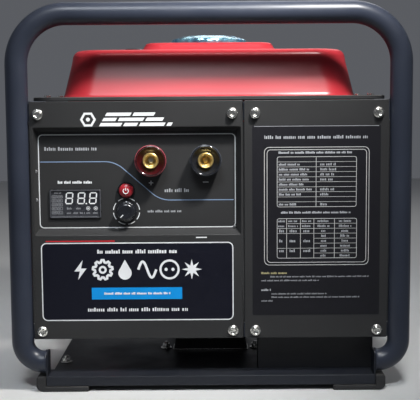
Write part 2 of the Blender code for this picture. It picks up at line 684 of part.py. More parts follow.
def make_recoil(finishes):
    """Starter: cover with a centre post, reel on the post, rope and pull handle."""
    crank = (0.0, CRANK_Y, CRANK_Z)
    profile = ((0.010, -0.1680), (0.035, -0.1680), (0.060, -0.1600), (0.0780, -0.1345),
               (0.0880, -0.1345), (0.0880, -0.1325), (0.0755, -0.1325), (0.0580, -0.1575),
               (0.0340, -0.1656), (0.0055, -0.1656), (0.0055, -0.1400))
    cover = turned("recoil_cover", profile, "X", finishes["red"], crank, 32)
    rope_z = CRANK_Z + REEL_R + ROPE_R + GAP
    mouth = skin([on_axis(circle(0.0035, 12), y, "Y", (REEL_X, rope_z)) for y in (0.060, 0.130)])
    combine(cover, add("rope_mouth", mouth, None), "DIFFERENCE")
    half, flange = 0.0055, 0.0025
    groove = ((0.0062, -half), (0.0440, -half), (0.0440, flange - half), (REEL_R, flange - half),
              (REEL_R, half - flange), (0.0440, half - flange), (0.0440, half), (0.0062, half))
    turned("rope_reel", groove, "X", finishes["black"], (REEL_X, CRANK_Y, CRANK_Z), 24, True)
    start, end = CRANK_Y - 0.040, 0.1120
    spots = 7
    route = [(REEL_X, start + (end - start) * step / spots, rope_z) for step in range(spots + 1)]
    pipe("starter_rope", route, ROPE_R, finishes["rope"], 2)
    grip = ((0.0060, -0.032), (0.0085, -0.029), (0.0090, -0.010), (0.0080, 0.0),
            (0.0090, 0.010), (0.0085, 0.029), (0.0060, 0.032))
    place = (REEL_X, end + GAP + 0.0085, rope_z)
    turned("recoil_handle", grip, "Z", finishes["black"], place, 16)


def make_alternator(finishes):
    """Outer-rotor generator on the right end of the crankshaft."""
    crank = (0.0, CRANK_Y, CRANK_Z)
    hole = SHAFT_R + GAP
    bell = ((hole, 0.1150), (0.060, 0.1150), (0.060, 0.0680), (0.050, 0.0680),
            (0.050, 0.1080), (hole, 0.1080))
    turned("alternator_rotor", bell, "X", finishes["steel"], crank, 28, True)
    coil = ((0.014, 0.0640), (0.048, 0.0640), (0.048, 0.1040), (0.014, 0.1040))
    turned("alternator_stator", coil, "X", finishes["winding"], crank, 24, True)
    hole = SHAFT_R + 0.0007
    can = ((hole, 0.1300), (0.066, 0.1300), (0.070, 0.1260), (0.070, 0.0583),
           (0.066, 0.0583), (0.066, 0.1270), (hole, 0.1270))
    turned("alternator_housing", can, "X", finishes["cast"], crank, 28, True)


def make_exhaust(muffler_finish, guard_finish):
    """Hollow muffler fed from the head's right side, and a bent sheet guard over it."""
    port = (PORT_Y, PORT_Z)
    low, high = MUFFLER_SPAN
    corner_steps = 3
    count = 4 * (corner_steps + 2)

    def box(shrink, corner, along):
        half_y, half_z = MUFFLER_HALF
        outline = rounded(half_y - shrink, half_z - shrink, corner, corner_steps)
        return on_axis(outline, along, "X", MUFFLER_YZ)

    def tube(radius, along):
        return on_axis(circle(radius, count), along, "X", port)

    start = HEAD_HALF + GAP
    rings = [box(0.0040, 0.015, high - 0.002), box(0.0015, 0.017, high - 0.004),
             box(0.0015, 0.017, low + 0.004), box(0.0040, 0.015, low + 0.002),
             tube(EXHAUST_R - SHEET, low + 0.001), tube(EXHAUST_R - SHEET, start),
             tube(EXHAUST_R, start), tube(EXHAUST_R, low - 0.001),
             box(0.0010, 0.018, low), box(0.0, 0.018, low + 0.003),
             box(0.0, 0.018, high - 0.003), box(0.0030, 0.016, high)]
    add("muffler", skin(rings), muffler_finish, smooth=True)
    front, back, foot, top = GUARD_YZ
    outline = [(front, top - GUARD_SHEET), (back - GUARD_SHEET, top - GUARD_SHEET),
               (back - GUARD_SHEET, foot), (back, foot), (back, top), (front, top)]
    prism("muffler_guard", outline, "X", (low - 0.004, high + 0.005), guard_finish)


def make_intake(finishes):
    """Carburettor on the head's left side, the air cleaner outside it and the choke lever."""
    centre = (PORT_Y, PORT_Z)
    radius = CARBURETTOR_R
    steps = ((radius - 0.003, -0.0845), (radius, -0.0830), (radius, -0.0500),
             (radius - 0.003, -HEAD_HALF - 0.0008))
    rings = [on_axis(circle(radius, 16), along, "X", centre) for radius, along in steps]
    carb = add("carburettor", skin(rings), finishes["cast"])
    bowl_steps = ((0.012, 0.2130), (0.0150, 0.2155), (0.0150, 0.2350))
    bowl = skin([on_axis(circle(r, 16), z, "Z", (BOWL_X, PORT_Y)) for r, z in bowl_steps])
    combine(carb, add("float_bowl", bowl, None), "UNION")
    half_x, half_y = CLEANER_HALF
    low, high = CLEANER_Z
    steps = ((0.004, 0.014, low), (0.0, 0.016, low + 0.005), (0.0, 0.016, high - 0.007),
             (0.005, 0.014, high))
    rings = [on_axis(rounded(half_x - shrink, half_y - shrink * 0.9, corner, 3), z, "Z", CLEANER_XY)
             for shrink, corner, z in steps]
    add("air_cleaner", skin(rings), finishes["black"], smooth=True)
    arm = arc((0.0, 0.0), 0.0045, 0, 180, 6) + [(-0.0030, -0.016), (0.0030, -0.016)]
    pivot = (BOWL_X, PORT_Y + CARBURETTOR_R + GAP, PORT_Z)
    prism("choke_lever", arm, "Y", (0.0, 0.0020), finishes["zinc"], pivot)


def make_dipstick(finish):
    """Winged oil plug with its dip rod, turning about Y."""
    wing = [(u * 1.0, v * 0.55) for u, v in circle(0.009, 16)]
    steps = ((circle(0.003, 16), 0.028), (circle(0.003, 16), -GAP), (circle(0.011, 16), -GAP),
             (circle(0.011, 16), -0.005), (wing, -0.005), (wing, -0.012))
    mesh = skin([on_axis(outline, along, "Y") for outline, along in steps])
    add("oil_dipstick", mesh, finish, (DIPSTICK_XZ[0], CASE_FRONT_Y, DIPSTICK_XZ[1]))


def make_engine_mounts(finish):
    span = (TRAY_FLOOR + GAP, CASE_LOW_Z - GAP)
    for place, low, high in (("front", -0.042, -0.014), ("rear", 0.074, 0.102)):
        sides = rect(-MOUNT_HALF_X, MOUNT_HALF_X, low, high)
        block = prism(f"engine_mount_{place}", sides, "Z", span, finish)
        round_edges(block, 0.003)


# ---------------------------------------------------------------- inverter
def comb_outline():
    """Block with cooling fins towards +Y."""
    left, right, front, back = INVERTER
    pitch = (right - left) / FIN_COUNT
    thick = pitch * 0.25
    outline = [(left, front), (right, front)]
    for number in reversed(range(FIN_COUNT)):
        middle = left + pitch * (number + 0.5)
        outline += [(middle + thick, back), (middle + thick * 0.7, back + FIN_REACH),
                    (middle - thick * 0.7, back + FIN_REACH), (middle - thick, back)]
    outline.insert(2, (right, back))
    outline.append((left, back))
    return outline


def make_inverter(housing_finish, fan_finish, outlet_finish):
    base = TRAY_FLOOR + GAP
    housing = prism("inverter_housing", comb_outline(), "Z", (base, INVERTER_TOP), housing_finish)
    back = INVERTER[3]
    drill(housing, [(*FAN_XZ, 0.0135)], "Y", (back + 0.001, back + FIN_REACH + 0.004), 16)
    hub = circle(0.012, 36)
    steps = ((hub, back + 0.004), (hub, back + FIN_REACH + 0.003),
             (blades(0.042, 0.013, 6, 6), back + FIN_REACH + 0.003),
             (blades(0.042, 0.013, 6, 6, 0.3), back + FIN_REACH + 0.014))
    mesh = skin([on_axis(outline, along, "Y") for outline, along in steps])
    add("inverter_fan", mesh, fan_finish, (FAN_XZ[0], 0.0, FAN_XZ[1]))
    side = INVERTER[1] + GAP
    rings = [on_axis(rounded(0.025, 0.025, 0.005, 3), along, "X", OUTLET_YZ)
             for along in (side, side + 0.028)]
    outlet = add("ac_outlet", skin(rings), outlet_finish)
    drill(outlet, [(*OUTLET_YZ, 0.0185)], "X", (side + 0.013, side + 0.040), 24)


# ---------------------------------------------------------------- assembly
def build():
    for item in list(bpy.data.objects):
        bpy.data.objects.remove(item, do_unlink=True)
    paint = make_palette()
    make_hoop("front_hoop", -HOOP_Y, FRONT_HOOP_TOP, FRONT_TOP_BEND, paint["frame"])
    make_hoop("rear_hoop", HOOP_Y, REAR_HOOP_TOP, REAR_TOP_BEND, paint["frame"])
    make_tray(paint["frame"])
    make_feet(paint["rubber"])
    make_panel_rails(paint["frame"])
    make_tank_rails(paint["frame"])
    make_control_panel(paint["panel"])
    make_rating_panel(paint["panel"])
    make_bolts(paint["zinc"])
    make_display(paint["black"])
    make_knob(paint["black"])
    make_button(paint["button"])
    make_sockets({"positive": paint["maroon"], "negative": paint["black"]}, paint["brass"])
    make_tank(paint["red"])
    make_cap(paint["cap"], paint["rubber"])
    make_gauge(paint["black"])
    make_fuel_line({"cast": paint["cast"], "red_plastic": paint["button"],
                    "rubber": paint["rubber"]})
    make_crankcase(paint["cast"])
    make_cylinder(paint["cast"])
    make_valve_cover(paint["steel"])
    make_spark_plug_boot(paint["rubber"])
    make_crankshaft(paint["steel"])
    make_flywheel(paint["cast"])
    make_shroud(paint["red"])
    make_recoil(paint)
    make_alternator(paint)
    make_exhaust(paint["exhaust"], paint["steel"])
    make_intake(paint)
    make_dipstick(paint["black"])
    make_engine_mounts(paint["rubber"])
    make_inverter(paint["cast"], paint["black"], paint["black"])


build()
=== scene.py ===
"""Looks of the engine driven welder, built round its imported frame.

Metres, +Z up, front towards -Y. Printed layouts are in millimetres on the front panels.
"""
import json
import math
import random

import bmesh
import bpy
from mathutils import Matrix, Vector

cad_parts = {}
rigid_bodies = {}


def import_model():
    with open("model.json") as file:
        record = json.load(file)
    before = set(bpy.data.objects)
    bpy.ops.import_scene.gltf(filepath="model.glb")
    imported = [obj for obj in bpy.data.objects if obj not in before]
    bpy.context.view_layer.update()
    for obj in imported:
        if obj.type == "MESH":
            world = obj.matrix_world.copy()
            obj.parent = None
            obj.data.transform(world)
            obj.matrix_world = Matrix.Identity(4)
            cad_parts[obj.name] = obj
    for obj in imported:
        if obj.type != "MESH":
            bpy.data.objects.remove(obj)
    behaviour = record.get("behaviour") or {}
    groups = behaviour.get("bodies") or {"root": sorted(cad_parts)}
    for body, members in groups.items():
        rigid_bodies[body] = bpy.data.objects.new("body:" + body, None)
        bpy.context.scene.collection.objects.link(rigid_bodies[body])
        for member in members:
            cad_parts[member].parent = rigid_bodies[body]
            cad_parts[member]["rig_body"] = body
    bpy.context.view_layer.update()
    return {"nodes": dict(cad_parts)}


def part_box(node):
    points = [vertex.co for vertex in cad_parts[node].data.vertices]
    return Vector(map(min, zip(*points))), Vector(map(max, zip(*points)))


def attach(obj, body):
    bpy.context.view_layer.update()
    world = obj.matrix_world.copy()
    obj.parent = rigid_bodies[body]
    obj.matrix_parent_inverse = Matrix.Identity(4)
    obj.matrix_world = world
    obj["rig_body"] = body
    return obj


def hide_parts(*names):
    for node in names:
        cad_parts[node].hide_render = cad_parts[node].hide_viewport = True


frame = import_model()

MM = 0.001
TUBE_SIDES = 48
ROUND = 48
FRAME_BODY = "welder_frame"

# Repeated from the CAD: thickness of sheet metal, Y and Z of the cylinder's two ports, X of the
# carburettor's middle.
SHEET = 0.002
PORT = (0.114, 0.24)
CARB_X = -0.065

# Places that the frame gives.
PANEL_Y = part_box("rating_panel")[0].y
DISPLAY_PROUD = 0.0022
RECESS_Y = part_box("display_module")[0].y + DISPLAY_PROUD
CRANK = sum(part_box("fan_shroud"), Vector()) / 2
AT_CRANK = (CRANK.y, CRANK.z)

# How far a print stands off its panel, over another print, and on top of both; its thickness
# and the steps in the corners of its frames.
PRINT_LIFT = 0.00002
OVER_PRINT = 0.00016
TOP_PRINT = 0.0003
PRINT_THICK = 0.00012
FRAME_STEPS = 5

# Camera, floor and lights of the reference view.
LENS = 84.0
LENS_SHIFT = 0.0024
CAMERA_PLACE = (0.0, -1.372, 0.355)
CAMERA_DOWN = 5.83
CAMERA_ROLL = 0.4
FLOOR_Z = -0.0004
# Place, target, size in metres, power in watts, colour and spread in degrees.
LIGHTS = {
    "key": ((0.22, -0.446, 0.82), (0.0, PANEL_Y, 0.435), 0.075, 1.7, (1.0, 0.985, 0.96), 72.0),
    "front_sky": ((-0.1, -1.2, 1.6), (0.0, PANEL_Y, 0.38), 0.9, 1.5, (0.9, 0.95, 1.0), 30.0),
    "back": ((0.3, 1.4, 1.6), (0.0, 0.0, 0.2), 1.4, 8.0, (1.0, 1.0, 1.0), 180.0),
}


def middle(node):
    low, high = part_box(node)
    return (low + high) / 2


def across(node, axis):
    """Middle of a node's box on the plane across the axis."""
    return tuple(sum(pair) / 2 for name, *pair in zip("XYZ", *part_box(node)) if name != axis)


def body_of(node):
    return frame["nodes"][node]["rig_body"]


# ---------------------------------------------------------------- materials
DUST = (0.3, 0.28, 0.25)
ROUGH_VARY = 0.06


class Nodes:
    """Short way to build a material. An input is a number, a colour or another node's output."""

    def __init__(self, name):
        self.made = bpy.data.materials.new(name)
        self.made.use_nodes = True
        self.tree = self.made.node_tree
        self.place = self.add("ShaderNodeTexCoord").outputs["Object"]

    def feed(self, node, inputs):
        for key, value in inputs.items():
            socket = node.inputs[key]
            if isinstance(value, bpy.types.NodeSocket):
                self.tree.links.new(value, socket)
            elif socket.type == "RGBA":
                socket.default_value = (*value, 1.0)
            else:
                socket.default_value = value

    def add(self, kind, inputs=None, **settings):
        node = self.tree.nodes.new(kind)
        for key, value in settings.items():
            setattr(node, key, value)
        self.feed(node, inputs or {})
        return node

    def mapped(self, **change):
        return self.add("ShaderNodeMapping", {"Vector": self.place, **change}).outputs["Vector"]

    def noise(self, size, detail=3.0, stretch=None):
        """Soft noise whose features are about size metres across."""
        place = self.mapped(Scale=stretch) if stretch else self.place
        inputs = {"Scale": 1.0 / size, "Detail": detail, "Vector": place}
        return self.add("ShaderNodeTexNoise", inputs).outputs["Fac"]

    def ramp(self, value, low, high, to_low=0.0, to_high=1.0):
        inputs = {
            "Value": value, "From Min": low, "From Max": high, "To Min": to_low, "To Max": to_high}
        return self.add("ShaderNodeMapRange", inputs).outputs["Result"]

    def times(self, first, second):
        made = self.add("ShaderNodeMath", {0: first, 1: second}, operation="MULTIPLY")
        return made.outputs["Value"]

    def blend(self, factor, first, second):
        """Mix two colours."""
        made = self.add("ShaderNodeMix", {0: factor, 6: first, 7: second}, data_type="RGBA")
        return made.outputs[2]

    def bump(self, height, depth, **more):
        inputs = {"Strength": 1.0, "Distance": depth, "Height": height, **more}
        return self.add("ShaderNodeBump", inputs).outputs["Normal"]

    def upward(self):
        """1 on faces that look up, 0 on upright and lower ones."""
        facing = self.add("ShaderNodeNewGeometry").outputs["Normal"]
        split = self.add("ShaderNodeSeparateXYZ", {0: facing})
        return self.ramp(split.outputs["Z"], 0.45, 0.95)

    def finish(self, colour, inputs):
        """Feed the shader, and show the plain colour in the viewport."""
        self.feed(self.tree.nodes["Principled BSDF"], inputs)
        self.made.diffuse_color = (*colour, 1.0)
        return self.made


def surface(name, colour, roughness, metallic=0.0, vary=0.12, patch=0.06, grain=0.0012, relief=0.00003,
            dust=0.1, coat=0.0, coat_rough=0.06, stretch=None, level=0.5):
    """Procedural finish: slow colour drift, grain in colour and bump, and dust where it settles."""
    nodes = Nodes(name)
    slow = nodes.noise(patch)
    fine = nodes.noise(grain, 2.0, stretch)
    dark = tuple(c * (1.0 - vary) for c in colour)
    light = tuple(min(c * (1.0 + vary), 1.0) for c in colour)
    base = nodes.blend(nodes.ramp(slow, 0.3, 0.7), dark, light)
    grainy = nodes.blend(nodes.ramp(fine, 0.35, 0.65, 0.0, 0.25), base, dark)
    settled = nodes.times(nodes.times(nodes.upward(), nodes.ramp(slow, 0.35, 0.75)), dust)
    return nodes.finish(colour, {
        "Base Color": nodes.blend(settled, grainy, DUST),
        "Roughness": nodes.ramp(nodes.noise(patch * 0.35), 0.3, 0.7, roughness - ROUGH_VARY,
                                roughness + ROUGH_VARY),
        "Normal": nodes.bump(fine, relief), "Metallic": metallic, "Specular IOR Level": level,
        "Coat Weight": coat, "Coat Roughness": coat_rough})


def crinkled(name, colour, second, fold):
    """Bright plated metal under a crinkled clear film with a blue cast."""
    nodes = Nodes(name)
    cells = nodes.add(
        "ShaderNodeTexVoronoi", {"Scale": 1.0 / fold, "Vector": nodes.place}, feature="SMOOTH_F1")
    waves = nodes.noise(fold * 1.7, 4.0)
    first = nodes.bump(cells.outputs["Distance"], fold * 0.22)
    return nodes.finish(colour, {
        "Base Color": nodes.blend(nodes.ramp(waves, 0.35, 0.62), second, colour),
        "Roughness": nodes.ramp(waves, 0.3, 0.7, 0.1, 0.24),
        "Normal": nodes.bump(waves, fold * 0.25, Normal=first), "Metallic": 0.85,
        "Coat Weight": 0.6})


def braided(name, colour, pitch):
    """Rope: crossing strands as bump and shade."""
    nodes = Nodes(name)
    bands = []
    for tilt in (0.9, -0.9):
        inputs = {"Scale": 1.0 / pitch, "Vector": nodes.mapped(Rotation=(0.0, 0.0, tilt))}
        bands.append(nodes.add("ShaderNodeTexWave", inputs, wave_profile="SIN").outputs["Fac"])
    crossed = nodes.times(*bands)
    dark = tuple(c * 0.45 for c in colour)
    return nodes.finish(
        colour, {"Base Color": nodes.blend(crossed, dark, colour),
                 "Normal": nodes.bump(crossed, pitch * 0.3), "Roughness": 0.85})


def make_palette():
    """One look for each material slot of the record, then two darker copies as painted shade: one of
    frame_paint for the tray, one of cast_aluminium for the heat sink.
    """
    cast = dict(vary=0.1, grain=0.0011, relief=0.00012, dust=0.25)
    metal = dict(vary=0.06, grain=0.0006, relief=0.000008, dust=0.0)
    coated = dict(relief=0.00002, patch=0.09, dust=0.03)
    glossy = dict(relief=0.000006, coat=0.5, dust=0.02)
    # Colour, roughness, metallic value, and what differs from the usual finish.
    looks = {
        "frame_paint": ((0.025, 0.03, 0.045), 0.36, 0.0, dict(coated, level=0.35)),
        "panel_paint": ((0.0275, 0.0275, 0.028), 0.46, 0.0,
                        dict(relief=0.000015, grain=0.0009, patch=0.12, dust=0.0, level=0.2)),
        "tank_paint": ((0.3, 0.018, 0.025), 0.62, 0.0,
                       dict(vary=0.05, patch=0.15, grain=0.004, relief=0.00001, coat=0.42,
                            coat_rough=0.26, dust=0.03, level=0.05)),
        "starter_paint": ((0.55, 0.028, 0.035), 0.35, 0.0, dict(coat=0.3)),
        "shroud_paint": ((0.06, 0.06, 0.064), 0.42, 0.0, dict(dust=0.15)),
        "exhaust_paint": ((0.085, 0.082, 0.078), 0.62, 0.5,
                          dict(vary=0.25, patch=0.03, grain=0.0008, relief=0.00004)),
        "zinc": ((0.8, 0.79, 0.74), 0.24, 1.0, dict(metal, patch=0.003)),
        "steel": ((0.56, 0.56, 0.57), 0.34, 1.0, dict(metal, patch=0.03)),
        "brass": ((0.74, 0.54, 0.2), 0.36, 0.85, dict(metal, patch=0.006)),
        "copper_winding": ((0.62, 0.26, 0.11), 0.38, 0.9,
                           dict(relief=0.0003, stretch=(1.0, 0.1, 0.1))),
        "cast_aluminium": ((0.52, 0.53, 0.54), 0.52, 0.9, cast),
        "black_plastic": ((0.022, 0.022, 0.025), 0.46, 0.0, dict(grain=0.0007, dust=0.06)),
        "gloss_black_plastic": ((0.01, 0.011, 0.014), 0.16, 0.0, glossy),
        "maroon_plastic": ((0.036, 0.003, 0.005), 0.15, 0.0, glossy),
        "red_plastic": ((0.3, 0.014, 0.022), 0.3, 0.0,
                        dict(relief=0.000008, coat=0.3, dust=0.02)),
        "rubber": ((0.014, 0.014, 0.015), 0.78, 0.0,
                   dict(grain=0.0009, relief=0.00008, vary=0.2, dust=0.2)),
        # Darker copy of frame_paint as painted shade: the tray at the bottom of the frame is darkened
        # for the shade it sits in.
        "tray_painted_shade": ((0.011, 0.013, 0.019), 0.42, 0.0, dict(coated, level=0.3)),
        # Darker copy of cast_aluminium as painted shade, for the heat sink in the shade under the
        # panels.
        "dark_cast_painted_shade": ((0.012, 0.0125, 0.015), 0.5, 0.3,
                      dict(grain=0.001, relief=0.00006, dust=0.06)),
    }
    palette = {name: surface(name, colour, roughness, metallic, **finish)
               for name, (colour, roughness, metallic, finish) in looks.items()}
    palette["cap_plating"] = crinkled("cap_plating", (0.42, 0.8, 0.95), (0.03, 0.22, 0.42), 0.009)
    palette["rope"] = braided("rope", (0.62, 0.61, 0.56), 0.0011)
    return palette


def make_print_palette():
    colours = {
        "white": (0.72, 0.73, 0.74), "pale": (0.36, 0.37, 0.39), "line": (0.5, 0.5, 0.49),
        "grey": (0.25, 0.255, 0.27), "faint": (0.085, 0.088, 0.098),
        "blue_line": (0.2, 0.28, 0.42), "blue": (0.004, 0.25, 0.64), "red": (0.55, 0.02, 0.03),
        "yellow": (0.34, 0.3, 0.16), "navy": (0.0045, 0.005, 0.011),
        "label": (0.01, 0.0098, 0.0125),
    }
    made = {name: surface(f"ink_{name}", colour, 0.5, vary=0.04, patch=0.02, grain=0.0006,
                          relief=0.000004, dust=0.0, level=0.2) for name, colour in colours.items()}
    made["glass"] = surface("display_glass", (0.027, 0.028, 0.033), 0.3, vary=0.03, patch=0.02,
                            relief=0.000002, dust=0.0, level=0.3)
    return made


# ---------------------------------------------------------------- outlines
def rect(low_u, high_u, low_v, high_v):
    return [(low_u, low_v), (high_u, low_v), (high_u, high_v), (low_u, high_v)]


def circle(radius, count=ROUND, centre=(0.0, 0.0), start=0.0):
    turns = [start + 2 * math.pi * step / count for step in range(count)]
    return [(centre[0] + radius * math.cos(a), centre[1] + radius * math.sin(a)) for a in turns]


def arc(centre, radius, start, end, steps):
    """Points on a circle between two angles in degrees."""
    angles = [math.radians(start + (end - start) * step / steps) for step in range(steps + 1)]
    return [(centre[0] + radius * math.cos(a), centre[1] + radius * math.sin(a)) for a in angles]


def rounded(half_u, half_v, corner, steps=8, centre=(0.0, 0.0)):
    """Rounded rectangle with 4 * (steps + 2) points."""
    points = []
    signs = ((1, 1), (-1, 1), (-1, -1), (1, -1))
    middles = ((half_u, 0.0), (0.0, half_v), (-half_u, 0.0), (0.0, -half_v))
    for quarter, (sign_u, sign_v) in enumerate(signs):
        points.append(middles[quarter])
        points += arc((sign_u * (half_u - corner), sign_v * (half_v - corner)), corner, 90 * quarter,
                      90 * (quarter + 1), steps)
    return [(u + centre[0], v + centre[1]) for u, v in points]


def rounded_sides(sides, corner, steps=6):
    """Rounded rectangle from (low_u, high_u, low_v, high_v)."""
    low_u, high_u, low_v, high_v = sides
    centre = ((low_u + high_u) / 2, (low_v + high_v) / 2)
    return rounded((high_u - low_u) / 2, (high_v - low_v) / 2, corner, steps, centre)


def grown(sides, amount):
    return (sides[0] - amount, sides[1] + amount, sides[2] - amount, sides[3] + amount)


def hexagon(apothem, count=ROUND):
    """Hexagon with count points, to join with a circle of as many."""
    points = []
    for step in range(count):
        angle = 2 * math.pi * step / count
        off = (angle + math.pi / 6) % (math.pi / 3) - math.pi / 6
        radius = apothem / math.cos(off)
        points.append((radius * math.cos(angle), radius * math.sin(angle)))
    return points


def waved(radius, depth, waves, count):
    """Circle with rounded lobes."""
    points = []
    for step in range(count):
        angle = 2 * math.pi * step / count
        at = radius - depth * (0.5 - 0.5 * math.cos(waves * angle))
        points.append((at * math.cos(angle), at * math.sin(angle)))
    return points


def on_axis(outline, along, axis, centre=(0.0, 0.0)):
    """Lift a 2-D outline to 3-D, on the plane across the axis at the given distance."""
    if axis == "X":
        return [Vector((along, u + centre[0], v + centre[1])) for u, v in outline]
    if axis == "Y":
        return [Vector((u + centre[0], along, v + centre[1])) for u, v in outline]
    return [Vector((u + centre[0], v + centre[1], along)) for u, v in outline]


# ---------------------------------------------------------------- meshes
def skin(rings, closed=False):
    """Mesh over rings with equal point counts. The ends are capped, or joined when closed."""
    count = len(rings[0])
    faces = []
    for index in range(len(rings) if closed else len(rings) - 1):
        here = index * count
        after = (index + 1) % len(rings) * count
        for step in range(count):
            side = (step + 1) % count
            faces.append((here + step, here + side, after + side, after + step))
    if not closed:
        faces.append(tuple(range(count)))
        faces.append(tuple(range((len(rings) - 1) * count, len(rings) * count)))
    mesh = bpy.data.meshes.new("skin")
    mesh.from_pydata([point for ring in rings for point in ring], [], faces)
    return tidied(mesh)


def tidied(mesh):
    work = bmesh.new()
    work.from_mesh(mesh)
    bmesh.ops.recalc_face_normals(work, faces=work.faces)
    work.to_mesh(mesh)
    work.free()
    return mesh


def smooth_route(points, steps):
    """Catmull-Rom curve through the points."""
    padded = [points[0], *points, points[-1]]
    route = []
    for index in range(1, len(padded) - 2):
        p0, p1, p2, p3 = (Vector(p) for p in padded[index - 1:index + 3])
        for step in range(steps):
            t = step / steps
            route.append(0.5 * (2 * p1 + (p2 - p0) * t + (2 * p0 - 5 * p1 + 4 * p2 - p3) * t * t
                                + (3 * p1 - p0 - 3 * p2 + p3) * t ** 3))
    route.append(Vector(points[-1]))
    return route


def swept(route, radius, sides=24, closed=False):
    """Round bar along a route of points."""
    route = [Vector(p) for p in route]
    last = len(route) - 1
    up = Vector((0.0, 1.0, 0.0))
    if abs((route[1] - route[0]).normalized().dot(up)) > 0.9:
        up = Vector((1.0, 0.0, 0.0))
    rings = []
    for index, point in enumerate(route):
        before = route[index - 1] if index or closed else point
        after = route[(index + 1) % (last + 1)] if index < last or closed else point
        heading = (after - before).normalized()
        up = (up - heading * up.dot(heading)).normalized()
        side = heading.cross(up)
        rings.append([point + radius * (u * up + v * side) for u, v in circle(1.0, sides)])
    return skin(rings, closed)


def joined(meshes):
    """One mesh from several."""
    work = bmesh.new()
    for mesh in meshes:
        work.from_mesh(mesh)
    result = bpy.data.meshes.new("joined")
    work.to_mesh(result)
    work.free()
    return result


def add(name, mesh, slot, node=None, look=None, body=None, bevel=0.0, place=(0.0, 0.0, 0.0),
        turn=(0.0, 0.0, 0.0), smooth=35.0):
    """Make a piece from a mesh or several, give it its finish, and let it ride on its body."""
    if isinstance(mesh, list):
        mesh = joined(mesh)
    if not mesh.materials:
        mesh.materials.append(look or paint[slot])
    mesh.shade_smooth()
    mesh.set_sharp_from_angle(angle=math.radians(smooth))
    made = put(name, mesh, place)
    made.rotation_euler = turn
    if bevel:
        step = made.modifiers.new("round_edges", "BEVEL")
        step.width = bevel
        step.segments = 3
        step.limit_method = "ANGLE"
        step.angle_limit = math.radians(30)
        step.harden_normals = True
    if node:
        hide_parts(node)
    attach(made, body or (body_of(node) if node else FRAME_BODY))
    return made


def stacked(steps, axis, count=ROUND, closed=False, centre=(0.0, 0.0), base=0.0):
    """Solid over (outline, distance along the axis) pairs; a number is a circle's radius."""
    rings = []
    for outline, along in steps:
        points = circle(outline, count) if isinstance(outline, float) else outline
        rings.append(on_axis(points, base + along, axis, centre))
    return skin(rings, closed)


def prism(outline, axis, span, centre=(0.0, 0.0)):
    return stacked([(outline, along) for along in span], axis, centre=centre)


def cut(target, tools):
    """Subtract meshes from a piece for good."""
    for mesh in tools:
        tool = put("tool", mesh)
        tool.matrix_world = target.matrix_world
        step = target.modifiers.new("cut", "BOOLEAN")
        step.operation = "DIFFERENCE"
        step.solver = "EXACT"
        step.object = tool
        while target.modifiers[0] != step:
            target.modifiers.move(len(target.modifiers) - 1, 0)
        bpy.context.view_layer.update()
        kept = [m for m in target.modifiers if m != step]
        for modifier in kept:
            modifier.show_viewport = False
        result = bpy.data.meshes.new_from_object(
            target.evaluated_get(bpy.context.evaluated_depsgraph_get()))
        for modifier in kept:
            modifier.show_viewport = True
        target.modifiers.remove(step)
        target.data = result
        bpy.data.objects.remove(tool)
    target.data.shade_smooth()
    target.data.set_sharp_from_angle(angle=math.radians(35))


# ---------------------------------------------------------------- camera, floor and lights
def put(name, data, place=(0.0, 0.0, 0.0)):
    """New object in the scene."""
    made = bpy.data.objects.new(name, data)
    made.location = place
    bpy.context.scene.collection.objects.link(made)
    return made


def aim(thing, target):
    thing.rotation_euler = (Vector(target) - thing.location).to_track_quat("-Z", "Y").to_euler()


def area_light(name, place, target, size, power, colour, spread):
    data = bpy.data.lights.new(name, "AREA")
    data.shape = "DISK"
    data.size = size
    data.energy = power
    data.color = colour
    data.spread = math.radians(spread)
    aim(put(name, data, place), target)


def make_studio():
    scene = bpy.context.scene
    scene.view_settings.view_transform = "Standard"
    data = bpy.data.cameras.new("camera")
    data.lens = LENS
    data.sensor_width = 36.0
    data.shift_x = LENS_SHIFT
    camera = put("camera", data, CAMERA_PLACE)
    camera.rotation_euler = (math.radians(90.0 - CAMERA_DOWN), math.radians(CAMERA_ROLL), 0.0)
    scene.camera = camera

    world = bpy.data.worlds.new("studio")
    world.use_nodes = True
    background = world.node_tree.nodes["Background"]
    background.inputs["Color"].default_value = (0.86, 0.9, 1.0, 1.0)
    background.inputs["Strength"].default_value = 0.12
    scene.world = world
    for name, settings in LIGHTS.items():
        area_light(name, *settings)

    floor = skin([on_axis(rounded(3.0, 3.0, 0.5), z, "Z") for z in (-0.02, FLOOR_Z)])
    look = surface(
        "floor", (0.64, 0.64, 0.63), 0.7, vary=0.02, patch=0.4, grain=0.002, relief=0.00002, dust=0.0)
    floor.materials.append(look)
    put("floor", floor)


# ---------------------------------------------------------------- frame and base
def make_hoop(node, top_bend):
    low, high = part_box(node)
    radius = (high.y - low.y) / 2
    side = high.x - radius
    bottom_bend = 0.026
    bar_z = low.z + radius
    end_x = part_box("base_tray")[1].x + 0.0005
    left = [(-end_x, bar_z)]
    left += arc((bottom_bend - side, bar_z + bottom_bend), bottom_bend, 270, 180, 12)
    left += arc((top_bend - side, high.z - radius - top_bend), top_bend, 180, 90, 20)
    outline = left + [(-x, z) for x, z in reversed(left)]
    y = (low.y + high.y) / 2
    mesh = swept([(x, y, z) for x, z in outline], radius, TUBE_SIDES)
    add(node.replace("hoop", "tube"), mesh, "frame_paint", node)
    beads = []
    for sign in (-1, 1):
        ring = circle(radius + 0.0002, 40, (y, bar_z))
        beads.append(swept(on_axis(ring, sign * (end_x + 0.0006), "X"), 0.0011, 8, closed=True))
    add(node.replace("hoop", "weld"), beads, "frame_paint")


